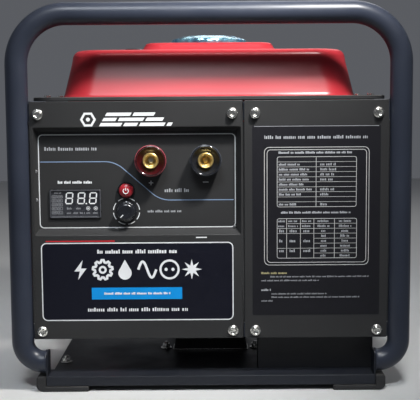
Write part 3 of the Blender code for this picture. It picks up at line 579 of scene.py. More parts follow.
def make_tray():
    low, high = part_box("base_tray")
    rail_y, top, floor = 0.164, 0.0185, 0.0105
    half = [
        (rail_y, floor), (rail_y, top), (high.y, top), (high.y, low.z), (high.y - SHEET, low.z),
        (high.y - SHEET, top - SHEET), (rail_y + SHEET, top - SHEET), (rail_y + SHEET, floor - SHEET)]
    outline = half + [(-y, z) for y, z in reversed(half)]
    # The tray takes a darker copy of the frame paint: painted shade at the bottom of the frame.
    add("tray_pressing", prism(outline, "X", (low.x, high.x)), "frame_paint", "base_tray",
        look=paint["tray_painted_shade"], bevel=0.0007)
    hoop_y = middle("front_hoop").y
    tabs = []
    for sign_x in (-1, 1):
        for mid in (hoop_y, -hoop_y):
            shape = rounded_sides((mid - 0.012, mid + 0.012, top - 0.003, high.z), 0.004)
            edges = sorted((sign_x * (high.x - SHEET), sign_x * high.x))
            tabs.append(prism(shape, "X", edges))
    add("tray_tabs", tabs, "frame_paint", look=paint["tray_painted_shade"], bevel=0.0004)
    nuts = []
    behind_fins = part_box("inverter_housing")[1].y + 0.011
    for spot in ((-0.191, -0.1), (0.191, behind_fins), (-0.191, 0.15), (0.191, 0.15)):
        nuts.append(nut_stack(spot, floor))
    add("tray_nuts", nuts, "zinc")
    mount_nuts = []
    for node in ("engine_mount_front", "engine_mount_rear"):
        low_m, high_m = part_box(node)
        for sign_x in (-1, 1):
            spot = (sign_x * (high_m.x + 0.01), (low_m.y + high_m.y) / 2)
            mount_nuts.append(nut_stack(spot, floor))
    add("mount_nuts", mount_nuts, "zinc")


def nut_stack(spot, base):
    """Washer, hexagon nut and the stub of its stud, standing on base."""
    washer = ((0.0035, base + 0.0001), (0.0075, base + 0.0001), (0.0078, base + 0.0006),
              (0.0075, base + 0.0013), (0.0035, base + 0.0013))
    steps = [(hexagon(0.005), base + 0.0013), (hexagon(0.005), base + 0.0055), (0.0048, base + 0.0063),
             (0.003, base + 0.0063), (0.0029, base + 0.0085), (0.0022, base + 0.0092)]
    nut = stacked(steps, "Z", centre=spot)
    return joined([stacked(washer, "Z", 32, True, spot), nut])


def make_feet():
    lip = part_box("base_tray")[0].z
    tray_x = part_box("base_tray")[1].x + 0.0003
    for place in ("front_left", "front_right", "rear_left", "rear_right"):
        node = f"rubber_foot_{place}"
        low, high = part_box(node)
        sign = 1 if high.x > 0 else -1
        outer, inner = max(abs(low.x), high.x), min(abs(low.x), abs(high.x))
        corner = arc((outer - 0.008, 0.008), 0.008, -90, 0, 8)
        top_round = arc((outer - 0.003, high.z - 0.003), 0.003, 0, 90, 4)
        outline = [(inner, 0.0), *corner, *top_round, (tray_x, high.z), (tray_x, lip - 0.0003),
                   (inner, lip - 0.0003)]
        mesh = prism([(sign * x, z) for x, z in outline], "Y", (low.y, high.y))
        add(f"foot_{place}", mesh, "rubber", node, bevel=0.0012)
        screw_y = (low.y + high.y) / 2
        head = ((0.0001, 0.0004), (0.0026, 0.0004), (0.0046, 0.0), (0.005, -0.0006))
        profile = [(r, sign * (outer - 0.0005 + out)) for r, out in head]
        add(f"foot_pin_{place}", stacked(profile, "X", 32, False, (screw_y, 0.0125)), "black_plastic")


def angle_outline(near, far, foot, head):
    """L section: an upright web at near, and a flange at the height of head out to far."""
    under = head - SHEET if head > foot else head + SHEET
    return [(near, foot), (near + SHEET, foot), (near + SHEET, under), (far, under), (far, head),
            (near, head)]


def make_rails():
    for node, is_top in (("panel_top_rail", True), ("panel_bottom_rail", False)):
        low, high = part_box(node)
        ends = (low.z, high.z) if is_top else (high.z, low.z)
        mesh = prism(angle_outline(low.y, high.y, *ends), "X", (low.x, high.x))
        add(f"{node}_bar", mesh, "frame_paint", node, bevel=0.0005)
    for node, sign in (("tank_rail_left", -1), ("tank_rail_right", 1)):
        low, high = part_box(node)
        outline = angle_outline(*sorted((abs(low.x), abs(high.x))), low.z, high.z)
        mesh = prism([(sign * x, z) for x, z in outline], "Y", (low.y, high.y))
        add(f"{node}_bar", mesh, "frame_paint", node, bevel=0.0005)


# ---------------------------------------------------------------- front panels
def make_control_panel():
    low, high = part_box("control_panel")
    outer = (low.x, high.x, low.z, high.z)
    opening = (-0.213, 0.038, 0.192, 0.323)
    floor = (-0.209, 0.033, 0.198, 0.318)
    wall, corner = 0.0014, 0.0015
    steps = ((floor, RECESS_Y), (opening, PANEL_Y), (outer, PANEL_Y), (outer, PANEL_Y + SHEET),
             (grown(opening, wall), PANEL_Y + SHEET), (grown(floor, wall), RECESS_Y + SHEET))
    rings = [on_axis(rounded_sides(s, corner, 4), y, "Y") for s, y in steps]
    add("control_sheet", skin(rings), "panel_paint", "control_panel", bevel=0.0007)


def make_rating_panel():
    low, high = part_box("rating_panel")
    outline = rounded_sides((low.x, high.x, low.z, high.z), 0.0015, 4)
    add("rating_sheet", prism(outline, "Y", (low.y, high.y)), "panel_paint", "rating_panel",
        bevel=0.0007)


def make_bolts():
    """Zinc flange bolts: each head turned to its own angle."""
    draw = random.Random(5)
    flange = 0.0067
    steps = (
        (0.003, 0.009), (0.003, 0.0), (flange, 0.0), (flange, -0.0006), (flange - 0.0003, -0.001),
        (0.0058, -0.0018), (0.0053, -0.002), (hexagon(0.0046), -0.0021), (hexagon(0.0046), -0.0044),
        (0.0044, -0.0051), (0.0036, -0.0053), (0.0029, -0.005), (0.0024, -0.0042), (0.0012, -0.004))
    shared = stacked(steps, "Y")
    for number in range(1, 9):
        node = f"panel_bolt_{number}"
        low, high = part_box(node)
        place = ((low.x + high.x) / 2, low.y + 0.0053, (low.z + high.z) / 2)
        turn = (math.radians(draw.uniform(-2.5, 2.5)), draw.uniform(0.0, math.pi), 0.0)
        add(f"flange_bolt_{number}", shared, "zinc", node, place=place, turn=turn)


def make_display():
    low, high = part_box("display_module")
    sides = (low.x, high.x, low.z, high.z)
    frame_in = grown(sides, -0.0016)
    body = grown(sides, -0.004)
    front = low.y
    steps = (
        (grown(frame_in, -0.0008), front + 0.0011), (frame_in, front + 0.0006), (frame_in, front),
        (grown(sides, -0.0004), front), (sides, front + 0.0004), (sides, RECESS_Y - 0.0003),
        (body, RECESS_Y - 0.0003), (body, high.y))
    rings = [on_axis(rounded_sides(s, 0.0016, 5), y, "Y") for s, y in steps]
    add("display_case", skin(rings), "gloss_black_plastic", "display_module", look=inks["glass"])


def make_knob():
    """Fluted knob with a skirt, a rounded cap and a pointer line."""
    at = across("current_knob", "Y")
    place = (at[0], RECESS_Y, at[1])
    radius = 0.0115
    flutes = waved(radius, 0.0004, 16, 96)

    def shrunk(amount):
        return [(amount * u, amount * v) for u, v in flutes]

    steps = (
        (0.003, 0.0095), (0.003, -0.0005), (0.0127, -0.0005), (0.0128, -0.0012), (0.0124, -0.0029),
        (shrunk(0.99), -0.0034), (shrunk(0.95), -0.0092), (0.0105, -0.0104), (0.0101, -0.0113),
        (0.0094, -0.012), (0.0084, -0.0125), (0.007, -0.0126), (0.0062, -0.0123), (0.003, -0.0122))
    add("knob_grip", stacked(steps, "Y", 96), "gloss_black_plastic", "current_knob", place=place)
    front = RECESS_Y - 0.0122
    tilt = math.radians(225)
    line = []
    for wide, out in ((-0.0005, 0.0045), (0.0005, 0.0045), (0.0005, 0.0092), (-0.0005, 0.0092)):
        line.append((out * math.cos(tilt) - wide * math.sin(tilt),
                     out * math.sin(tilt) + wide * math.cos(tilt)))
    mark = prism(line, "Y", (front - 0.0007, front + 0.0006), at)
    add("knob_pointer", mark, "black_plastic", look=inks["white"], body="current_knob")


def make_button():
    at = across("switch_button", "Y")
    profile = ((0.0087, 0.0055), (0.0087, -0.0036), (0.0084, -0.0046), (0.0076, -0.0055),
               (0.0062, -0.0063), (0.0046, -0.0069), (0.0028, -0.0073), (0.001, -0.0074))
    mesh = stacked(profile, "Y", centre=at, base=RECESS_Y)
    add("button_dome", mesh, "red_plastic", "switch_button")
    bezel = ((0.0091, -0.0002), (0.0091, -0.0016), (0.0095, -0.0022), (0.0103, -0.002),
             (0.0107, -0.001), (0.0107, -0.0002))
    mesh = stacked(bezel, "Y", ROUND, True, at, RECESS_Y)
    add("button_bezel", mesh, "gloss_black_plastic")
    face = RECESS_Y - 0.0073
    mark = Print(face, lift=0.0001, thick=0.001)
    ring = [(1000 * u, 1000 * v) for u, v in arc(at, 0.0032, 125, 415, 22)]
    mark.stroke(ring, 0.9)
    x, z = 1000 * at[0], 1000 * at[1]
    mark.plate(rect(x - 0.45, x + 0.45, z + 0.4, z + 4.0))
    mark.finish("button_mark", "white", "red_plastic", body="switch_button")


def make_sockets():
    """Cable sockets: glossy collars with a dished front and a bored brass contact."""
    looks = {"positive": "maroon_plastic", "negative": "gloss_black_plastic"}
    # Painted highlight: lighter copies of the collar plastics, for a thin ring that stands for the
    # glint along each collar's rim.
    highlight_looks = {"positive": surface("painted_highlight_red", (0.34, 0.075, 0.09), 0.25, dust=0.0),
            "negative": surface("painted_highlight_grey", (0.05, 0.055, 0.066), 0.25, dust=0.0)}
    for name, look in looks.items():
        node = f"output_socket_{name}"
        low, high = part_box(node)
        at = across(node, "Y")
        outer = (high.x - low.x) / 2
        collar = (
            (0.0099, -0.012), (0.0112, -0.0122), (0.0128, -0.013), (0.0146, -0.0146), (0.0158, -0.0164),
            (0.0163, -0.0173), (0.017, -0.0178), (0.0177, -0.0177), (0.0184, -0.0171), (0.0188, -0.016),
            (outer, -0.0145), (outer, -0.003), (outer - 0.0006, -0.0022), (outer - 0.0006, -0.0003),
            (0.0126, -0.0003), (0.0126, 0.01), (0.0099, 0.01))
        mesh = stacked(collar, "Y", 64, True, at, RECESS_Y)
        add(f"socket_collar_{name}", mesh, look, node)
        contact = (
            (0.001, -0.0045), (0.0058, -0.0045), (0.0058, -0.0098), (0.0066, -0.0102),
            (0.0066, -0.0148), (0.0073, -0.0162), (0.0079, -0.0167), (0.0087, -0.0168),
            (0.0094, -0.0162), (0.0096, -0.015), (0.0096, 0.012), (0.0125, 0.012), (0.0125, 0.017),
            (0.005, 0.017), (0.005, 0.029))
        mesh = stacked(contact, "Y", centre=at, base=RECESS_Y)
        add(f"contact_ring_{name}", mesh, "brass", f"brass_contact_{name}")
        # Thin ring in the lighter colour: a painted highlight along the collar's rim.
        rim = on_axis(circle(0.0186, 64, at), RECESS_Y - 0.0164, "Y")
        add(f"socket_painted_highlight_{name}", swept(rim, 0.0005, 8, closed=True), look, look=highlight_looks[name])
        pin = ((0.0002, -0.0078), (0.0026, -0.0078), (0.0034, -0.0074), (0.004, -0.0064),
               (0.004, -0.0047), (0.0002, -0.0047))
        metal = "steel" if name == "positive" else "brass"
        add(f"contact_pin_{name}", stacked(pin, "Y", 32, False, at, RECESS_Y), metal)


def make_gap_shade_strips():
    """Dark rubber strips behind the panels' edges and the split between them, as painted shade: they
    keep the slits dark.
    """
    low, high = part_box("panel_bottom_rail")
    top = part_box("panel_top_rail")[0].z - 0.001
    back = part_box("rating_panel")[1].y
    split = (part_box("control_panel")[1].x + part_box("rating_panel")[0].x) / 2
    spans = ((low.x, low.x + 0.0027), (split - 0.0025, split + 0.0055), (high.x - 0.0057, high.x))
    strips = [prism(rounded_sides((left, right, high.z + 0.001, top), 0.0006, 3), "Y",
                    (back + 0.0002, back + 0.001)) for left, right in spans]
    add("panel_gap_shade_strips", strips, "rubber")


# ---------------------------------------------------------------- printing on the panels
class Print:
    """Thin raised shapes on a plane facing the front, laid out in millimetres."""

    def __init__(self, plane, lift=PRINT_LIFT, thick=PRINT_THICK):
        self.back = plane - lift
        self.front = plane - lift - thick
        self.points = []
        self.faces = []

    def plate(self, outline):
        start, count = len(self.points), len(outline)
        for y in (self.front, self.back):
            self.points += [(x * MM, y, z * MM) for x, z in outline]
        self.faces.append(tuple(range(start, start + count)))
        self.faces.append(tuple(range(start + count, start + 2 * count)))
        for step in range(count):
            after = (step + 1) % count
            self.faces.append(
                (start + step, start + after, start + count + after, start + count + step))

    def stroke(self, path, width, closed=False):
        """Line of even width along a path, as one band."""
        path = [Vector(p) for p in path]
        count = len(path)
        start = len(self.points)
        for index, point in enumerate(path):
            before = path[index - 1] if index or closed else point
            after = path[(index + 1) % count] if index < count - 1 or closed else point
            heading = (after - before).normalized()
            side = Vector((-heading.y, heading.x)) * width / 2
            for at, y in ((point + side, self.front), (point - side, self.front),
                          (point - side, self.back), (point + side, self.back)):
                self.points.append((at.x * MM, y, at.y * MM))
        for index in range(count if closed else count - 1):
            here, there = start + 4 * index, start + 4 * ((index + 1) % count)
            for corner in range(4):
                side = (corner + 1) % 4
                self.faces.append((here + corner, here + side, there + side, there + corner))
        if not closed:
            self.faces.append(tuple(start + corner for corner in range(4)))
            self.faces.append(tuple(start + 4 * (count - 1) + corner for corner in range(4)))

    def bar(self, left, right, z, height):
        self.plate(rect(left, right, z - height / 2, z + height / 2))

    def frame(self, sides, corner, width):
        self.stroke(rounded_sides(sides, corner, FRAME_STEPS), width, closed=True)

    def ticks(self, left, right, z, height, draw, fill=0.62):
        """Rows of short upright marks in uneven groups, where the real panel has writing."""
        x = left
        while x < right - height * 0.4:
            for _ in range(draw.randint(3, 8)):
                width = height * draw.uniform(0.42, 0.72)
                if x + width > right:
                    break
                tall = height * draw.choice((0.72, 0.72, 0.8, 1.0))
                self.plate(rect(x, x + width * fill, z - height / 2, z - height / 2 + tall))
                x += width
            x += height * 0.55

    def finish(self, name, ink, slot="panel_paint", body=FRAME_BODY):
        mesh = bpy.data.meshes.new(name)
        mesh.from_pydata(self.points, [], self.faces)
        return add(name, tidied(mesh), slot, look=inks[ink], body=body)


def print_recess():
    draw = random.Random(11)
    white, pale, blue = Print(RECESS_Y), Print(RECESS_Y), Print(RECESS_Y)
    white.frame((-208.2, 31.4, 200.0, 314.0), 5.0, 1.1)
    pale.ticks(-201.0, -135.8, 297.0, 4.4, draw)
    white.ticks(-185.6, -143.2, 256.1, 3.4, draw, 0.8)
    pale.ticks(-55.0, -22.0, 245.4, 4.4, draw)
    pale.ticks(-76.0, -34.4, 219.8, 3.0, draw)
    plus_x, minus_x, sign_z = -71.6, -4.8, 254.6
    white.bar(plus_x - 2.7, plus_x + 2.7, sign_z, 0.9)
    white.plate(rect(plus_x - 0.45, plus_x + 0.45, sign_z + 0.5, sign_z + 2.7))
    white.plate(rect(plus_x - 0.45, plus_x + 0.45, sign_z - 2.7, sign_z - 0.5))
    white.bar(minus_x - 3.4, minus_x + 3.4, sign_z + 0.6, 0.8)
    bend, left_z, right_z = 34.0, 281.0, 233.4
    upper = arc((-128.0, left_z - bend), bend, 90, 48, 12)
    lower = arc((-48.0, right_z + bend), bend, 228, 270, 12)
    blue.stroke([(-206.4, left_z), *upper, *lower, (29.6, right_z)], 1.0)
    at = [1000 * v for v in across("current_knob", "Y")]
    for step in range(8):
        turn = 45.0 * step + 22.5
        white.stroke(arc(at, 16.1, turn - 16.0, turn + 16.0, 6), 1.0)
    white.finish("print_recess_white", "white")
    pale.finish("print_recess_pale", "pale")
    blue.finish("print_recess_curve", "blue_line")


def seven_segments(page, left, low, width, height, stroke, lean):
    """Figure eight of seven bars, leaning to the right."""
    gap, half = 0.28, stroke / 2

    def slanted(outline):
        return [(x + lean * (z - low), z) for x, z in outline]

    right, mid, top = left + width, low + height / 2, low + height
    for z in (low + half, mid, top - half):
        start, end = left + half + gap, right - half - gap
        page.plate(slanted([(start, z), (start + half, z - half), (end - half, z - half), (end, z),
                            (end - half, z + half), (start + half, z + half)]))
    for x in (left + half, right - half):
        for foot, head in ((low + half, mid), (mid, top - half)):
            start, end = foot + gap, head - gap
            page.plate(slanted([(x, start), (x + half, start + half), (x + half, end - half), (x, end),
                                (x - half, end - half), (x - half, start + half)]))


def print_display():
    draw = random.Random(23)
    low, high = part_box("display_module")
    plane = low.y + 0.0011
    digits, grey, edge = Print(plane), Print(plane), Print(low.y)
    for left in (-177.1, -162.4, -148.1):
        seven_segments(digits, left, 229.2, 9.3, 14.6, 1.45, 0.1)
    digits.plate(circle(0.95, 16, (-151.0, 229.8)))
    for row in range(6):
        z = 243.2 - row * 4.85
        if row:
            for cell in range(2):
                start = -193.0 + 6.9 * cell
                grey.stroke(
                    rounded_sides((start, start + 6.0, z - 1.6, z + 1.6), 0.5, 2), 0.45, closed=True)
                grey.ticks(start + 1.0, start + 5.6, z, 1.5, draw)
        else:
            grey.ticks(-190.0, -181.5, z, 2.0, draw)
    grey.ticks(-174.8, -168.4, 224.0, 2.6, draw)
    grey.ticks(-163.4, -156.8, 224.0, 2.6, draw)
    for x in (-148.8, -139.6):
        digits.stroke(circle(2.1, 20, (x, 224.0)), 0.5, closed=True)
        digits.bar(x - 0.9, x + 0.9, 224.0, 1.5)
    for start in (-175.0, -167.0, -159.0, -151.0, -143.0):
        grey.ticks(start, start + 6.4, 218.4, 2.2, draw)
    sides = [1000 * v for v in (low.x, high.x, low.z, high.z)]
    edge.frame(grown(sides, -0.9), 1.6, 0.7)
    digits.finish("print_display_digits", "white", "gloss_black_plastic")
    grey.finish("print_display_icons", "grey", "gloss_black_plastic")
    edge.finish("print_display_edge", "faint", "gloss_black_plastic")


def emblem(page, left, right, low, high):
    """Plain mark: a hexagon ring and slanted speed bars of falling length."""
    size = (high - low) / 2
    mid = (low + high) / 2
    hexes = [(left + size * (1 + math.cos(a)), mid + size * math.sin(a))
             for a in (math.pi / 3 * step for step in range(6))]
    page.stroke(hexes, 3.0, closed=True)
    page.plate(circle(size * 0.3, 24, (left + size, mid)))
    start = left + 2 * size + 5.0
    rows = 3
    gap = 2.2
    tall = (high - low - gap * (rows - 1)) / rows
    for row in range(rows):
        z = low + row * (tall + gap)
        end = right - 14.0 * row
        lean = 0.6
        x = start
        lengths = (26.0, 16.0, 30.0)
        turn = 0
        while x < end:
            stop = min(x + lengths[(row + turn) % 3], end)
            page.plate(
                [(x + lean * (z - low), z), (stop + lean * (z - low), z),
                 (stop + lean * (z - low + tall), z + tall), (x + lean * (z - low + tall), z + tall)])
            x = stop + 3.0
            turn += 1


def toothed(at, radii, teeth, start):
    """Outline that runs through the radii once for each tooth."""
    count = teeth * len(radii)
    turns = [start + 2 * math.pi * step / count for step in range(count)]
    return [(at[0] + radius * math.cos(turn), at[1] + radius * math.sin(turn))
            for radius, turn in zip(radii * teeth, turns)]


def drop_outline(at, radius):
    body = arc(at, radius, -220, 40, 24)
    return [*body, (at[0], at[1] + radius * 2.05)]


def pictograms(page, left, right, low, high):
    """Six plain signs for what the machine does, in place of a name."""
    tall = high - low
    mid = (low + high) / 2
    pitch = (right - left) / 6
    spots = [left + pitch * (step + 0.5) for step in range(6)]
    x = spots[0]
    page.plate([(x + 3.0, high), (x - 7.5, mid - 1.8), (x - 0.8, mid - 1.8), (x - 3.0, low),
                (x + 7.5, mid + 1.8), (x + 0.8, mid + 1.8)])
    at = (spots[1], mid)
    root, tip = tall * 0.38, tall * 0.5
    page.stroke(toothed(at, (root, tip, tip, root), 9, -math.pi / 36), 3.2, closed=True)
    page.stroke(circle(3.6, 28, at), 2.6, closed=True)
    page.plate(drop_outline((spots[2], low + tall * 0.33), tall * 0.33))
    x = spots[3]
    wave = [(x - 11.0 + 22.0 * step / 36, mid + tall * 0.4 * math.sin(2 * math.pi * step / 36))
            for step in range(37)]
    page.stroke(wave, 3.0)
    at = (spots[4], mid)
    page.stroke(circle(tall * 0.45, 40, at), 2.6, closed=True)
    for side in (-1, 1):
        page.plate(circle(2.0, 18, (at[0] + side * 4.2, mid)))
    page.plate(toothed((spots[5], mid), (tip, tall * 0.2), 8, math.pi / 2))


def print_name_plate():
    draw = random.Random(31)
    navy, over = Print(PANEL_Y), Print(PANEL_Y, TOP_PRINT)
    white, blue, red = (Print(PANEL_Y, OVER_PRINT) for _ in range(3))
    sides = (-205.4, 27.8, 87.0, 182.4)
    navy.plate(rounded_sides(sides, 6.0, FRAME_STEPS))
    white.frame(sides, 6.0, 1.25)
    red.bar(-200.0, -116.0, 184.9, 1.3)
    white.bar(-17.0, -3.8, 188.7, 1.3)
    white.ticks(-137.5, -38.0, 172.0, 4.8, draw, 0.75)
    pictograms(white, -172.0, -8.8, 137.2, 161.8)
    blue.bar(-145.0, -34.4, 120.1, 14.6)
    white.ticks(-150.0, -24.6, 100.2, 4.6, draw)
    over.ticks(-129.8, -47.8, 120.2, 2.8, draw, 0.85)
    emblem(white, -153.8, -46.0, 324.4, 340.6)
    navy.finish("print_name_ground", "navy")
    white.finish("print_name_white", "white")
    blue.finish("print_name_blue", "blue")
    red.finish("print_name_red", "red")
    over.finish("print_name_small", "white")


def print_rating_label():
    draw = random.Random(47)
    ground = Print(PANEL_Y)
    line, text, faint, yellow = (Print(PANEL_Y, OVER_PRINT) for _ in range(4))
    ground.plate(rounded_sides((51.7, 206.8, 92.0, 324.0), 2.0, FRAME_STEPS))
    faint.bar(54.0, 204.5, 323.0, 0.7)
    text.ticks(66.4, 191.4, 309.8, 4.0, draw)
    line.frame((66.3, 192.9, 154.0, 297.6), 6.0, 0.7)
    line.frame((69.6, 189.8, 157.2, 294.6), 4.2, 0.7)
    text.ticks(83.4, 172.4, 291.2, 2.7, draw, 0.85)
    text.ticks(86.4, 171.0, 218.4, 2.6, draw, 0.85)

    left, right, low, high = 81.8, 177.6, 225.3, 286.0
    middle_x, rows = 128.9, 10
    line.frame((left, right, low, high), 2.4, 0.6)
    pitch = (high - low) / rows
    for row in range(1, rows):
        line.bar(left, right, low + pitch * row, 0.42)
    line.plate(rect(middle_x - 0.3, middle_x + 0.3, low, high))
    for row in range(rows):
        z = low + pitch * (row + 0.5)
        if row not in (1, rows - 1):
            text.ticks(left + 2.0, left + draw.uniform(24.0, 43.0), z, 2.6, draw, 0.8)
        if row not in (1, 4, rows - 1):
            text.ticks(middle_x + 5.0, middle_x + draw.uniform(15.0, 26.0), z, 3.1, draw)

    low, high = 162.4, 210.9
    columns, rows = (93.3, 110.1, 126.4, 151.4), 8
    line.frame((left, 178.3, low, high), 2.4, 0.6)
    pitch = (high - low) / rows
    for x in columns:
        line.plate(rect(x - 0.3, x + 0.3, low, high))
    for row in range(1, rows):
        start = left if row in (2, 5, 6) else columns[2] if row < 6 else columns[0]
        line.bar(start, 178.3, low + pitch * row, 0.42)
    edges = (left, *columns, 178.3)
    for row in range(rows):
        z = low + pitch * (row + 0.5)
        for column in (3, 4):
            mid = (edges[column] + edges[column + 1]) / 2
            wide = 8.0 if row > 5 else draw.uniform(2.6, 5.0) + 2.0 * (column == 4)
            text.ticks(mid - wide, mid + wide, z, 2.8, draw)
        for column in (0, 1, 2):
            mid = (edges[column] + edges[column + 1]) / 2
            wide = (edges[column + 1] - edges[column]) * (0.38 if row > 5 else 0.28)
            if row in (1, 3, 5, 6, 7):
                text.ticks(mid - wide, mid + wide, z, 2.6 if row > 5 else 3.4, draw)

    yellow.ticks(62.3, 94.0, 144.2, 2.6, draw, 0.8)
    for start, end, z in (
            (73.4, 194.3, 139.6), (62.4, 133.3, 134.9), (74.7, 143.3, 118.4), (74.7, 182.5, 114.2),
            (62.4, 77.2, 109.7)):
        faint.ticks(start, end, z, 1.9, draw, 0.75)
    text.ticks(62.4, 74.8, 123.3, 2.6, draw, 0.8)
    ground.finish("print_label_ground", "label")
    line.finish("print_label_lines", "line")
    text.finish("print_label_marks", "pale")
    faint.finish("print_label_faint", "grey")
    yellow.finish("print_label_heading", "yellow")


def make_recess_rivets():
    """Small pan heads: two on the recess's left wall and one in its lower right corner."""
    heads = []
    for x, z in ((-0.2108, 0.27), (-0.2108, 0.2352), (0.0303, 0.2005)):
        profile = ((0.0019, 0.0), (0.0019, -0.0004), (0.0014, -0.001), (0.0004, -0.0012))
        y = RECESS_Y - 0.0062 if x < 0 else RECESS_Y - 0.0001
        heads.append(stacked([(r, y + out) for r, out in profile], "Y", 24, False, (x, z)))
    add("recess_rivets", heads, "steel")


# ---------------------------------------------------------------- fuel tank
def make_tank():
    """Pressed shell with a seam flange, a raised boss with rounded corners and the filler neck."""
    low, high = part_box("fuel_tank")
    flange_z, top_z, boss_z, neck_r = 0.3551, 0.4185, 0.429, 0.0245
    steps = 14

    def ring(half_x, half_y, corner, z):
        return on_axis(rounded(half_x, half_y, corner, steps), z, "Z")

    # Half width, half depth, corner and height of each ring, from the bottom up to the wall.
    table = ((0.152, 0.12, 0.036, low.z), (0.166, 0.134, 0.04, low.z + 0.0005),
             (0.172, 0.14, 0.04, low.z + 0.0025), (0.175, 0.143, 0.04, low.z + 0.006),
             (0.1797, 0.1477, 0.04, flange_z - 0.002), (0.1815, 0.1495, 0.04, flange_z),
             (high.x - 0.0006, high.y - 0.0006, 0.03, flange_z),
             (high.x, high.y, 0.03, flange_z + 0.0006), (high.x, high.y, 0.03, flange_z + 0.0019),
             (high.x - 0.0006, high.y - 0.0006, 0.03, flange_z + 0.0025),
             (0.1895, 0.159, 0.041, flange_z + 0.0027), (0.1865, 0.156, 0.04, flange_z + 0.0034),
             (0.1847, 0.154, 0.04, flange_z + 0.0055))
    rings = [ring(*row) for row in table]
    wall_low, wall_high = (0.1835, 0.1525, flange_z + 0.009), (0.1756, 0.139, 0.402)
    for step in range(6):
        t = step / 5
        rings.append(ring(*(wall_low[i] + (wall_high[i] - wall_low[i]) * t for i in (0, 1)), 0.04,
                          wall_low[2] + (wall_high[2] - wall_low[2]) * t))
    shoulder, bend = 12, 0.011
    for step in range(shoulder + 1):
        angle = math.radians(10 + 80 * step / shoulder)
        inset = bend * (1 - math.cos(angle))
        rings.append(ring(0.1747 - inset, 0.1375 - inset, 0.04 - inset * 0.6,
                          top_z - bend * (1 - math.sin(angle))))
    boss_steps = (
        (-0.003, 0.028, top_z + 0.0003), (-0.0008, 0.026, top_z + 0.0008),
        (0.0004, 0.025, top_z + 0.002), (0.0034, 0.023, boss_z - 0.0034),
        (0.0046, 0.022, boss_z - 0.0016), (0.0062, 0.021, boss_z - 0.0005),
        (0.0085, 0.019, boss_z - 0.0001))
    rings += [ring(0.0868 - inset, 0.1 - inset, corner, z) for inset, corner, z in boss_steps]
    neck = (
        (neck_r + 0.006, boss_z), (neck_r + 0.002, boss_z + 0.0003), (neck_r, boss_z + 0.0012),
        (neck_r, high.z - 0.001), (neck_r - 0.0008, high.z), (neck_r - 0.0016, high.z),
        (neck_r - 0.002, high.z - 0.0008), (neck_r - 0.002, boss_z - 0.012),
        (neck_r - 0.004, boss_z - 0.014))
    rings += [on_axis(circle(radius, len(rings[0])), z, "Z") for radius, z in neck]
    add("tank_shell", skin(rings), "tank_paint", "fuel_tank", smooth=50)
    # Dark rubber strip folded over the seam flange's edge, so the flange line shows dark.
    flange_strip_profile = ((-0.005, 0.0027), (-0.0048, 0.0038), (-0.0036, 0.0045), (-0.0004, 0.0045), (0.0008, 0.0038),
            (0.0009, 0.0004), (0.0003, -0.0002), (0.0002, 0.003), (-0.004, 0.0029))
    edges = [ring(high.x + out, high.y + out, 0.03 + out, flange_z + up) for out, up in flange_strip_profile]
    add("tank_flange_dark_strip", skin(edges, True), "rubber")
    bolts = []
    for sign_x in (-1, 1):
        for y in (-0.11, 0.0, 0.11):
            stack = ((0.0056, 0.0001), (0.0056, 0.001), (hexagon(0.004, 32), 0.0011),
                     (hexagon(0.004, 32), 0.004), (0.0037, 0.0046), (0.0016, 0.0047))
            at = (sign_x * (high.x - 0.012), y)
            bolts.append(stacked(stack, "Z", 32, centre=at, base=flange_z + 0.0027))
    add("tank_bolts", bolts, "zinc")


def make_cap():
    low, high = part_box("fuel_cap")
    radius = (high.x - low.x) / 2
    tall = high.z - low.z
    count, lobes = 144, 24

    def side(shrink, depth=0.0011):
        return waved(radius - shrink, depth, lobes, count)

    steps = (
        (0.0251, 0.0076), (0.0251, 0.0004), (radius - 0.005, 0.0), (side(0.0018), 0.0002),
        (side(0.0004), 0.0012), (side(0.0), 0.0028), (side(0.0004), 0.0058), (side(0.0018), 0.0074),
        (side(0.0046, 0.0007), 0.0086), (radius - 0.008, 0.0094), (radius - 0.014, tall - 0.0018),
        (radius - 0.022, tall - 0.0009), (radius - 0.032, tall - 0.0003), (0.01, tall), (0.002, tall))
    add("cap_shell", stacked(steps, "Z", count, base=low.z), "cap_plating", "fuel_cap", smooth=50)
    low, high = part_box("fuel_cap_gasket")
    outer = (high.x - low.x) / 2
    ring = ((0.0165, low.z), (outer, low.z), (outer, high.z), (0.0165, high.z))
    add("cap_seal", stacked(ring, "Z", ROUND, True), "rubber", "fuel_cap_gasket", bevel=0.0003)


def make_gauge():
    low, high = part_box("fuel_gauge")
    at = ((low.x + high.x) / 2, 0.0)
    radius = (high.x - low.x) / 2
    ring = ((radius, low.z), (radius, high.z - 0.0022), (radius - 0.0008, high.z - 0.0006),
            (radius - 0.0018, high.z), (radius - 0.0034, high.z - 0.0002),
            (radius - 0.004, high.z - 0.0016), (radius - 0.004, low.z + 0.003), (0.001, low.z + 0.003))
    add("gauge_ring", stacked(ring, "Z", centre=at), "gloss_black_plastic", "fuel_gauge")
    dial = prism(arc((0, 0), radius - 0.0048, 20, 160, 20), "Z", (low.z + 0.0031, low.z + 0.0034), at)
    add("gauge_dial", dial, "gloss_black_plastic", look=inks["white"])
    needle = rect(-0.0005, 0.0005, -0.0035, 0.006)
    add("gauge_needle", prism(needle, "Z", (low.z + 0.0036, low.z + 0.0042), at), "gloss_black_plastic",
        look=inks["red"])


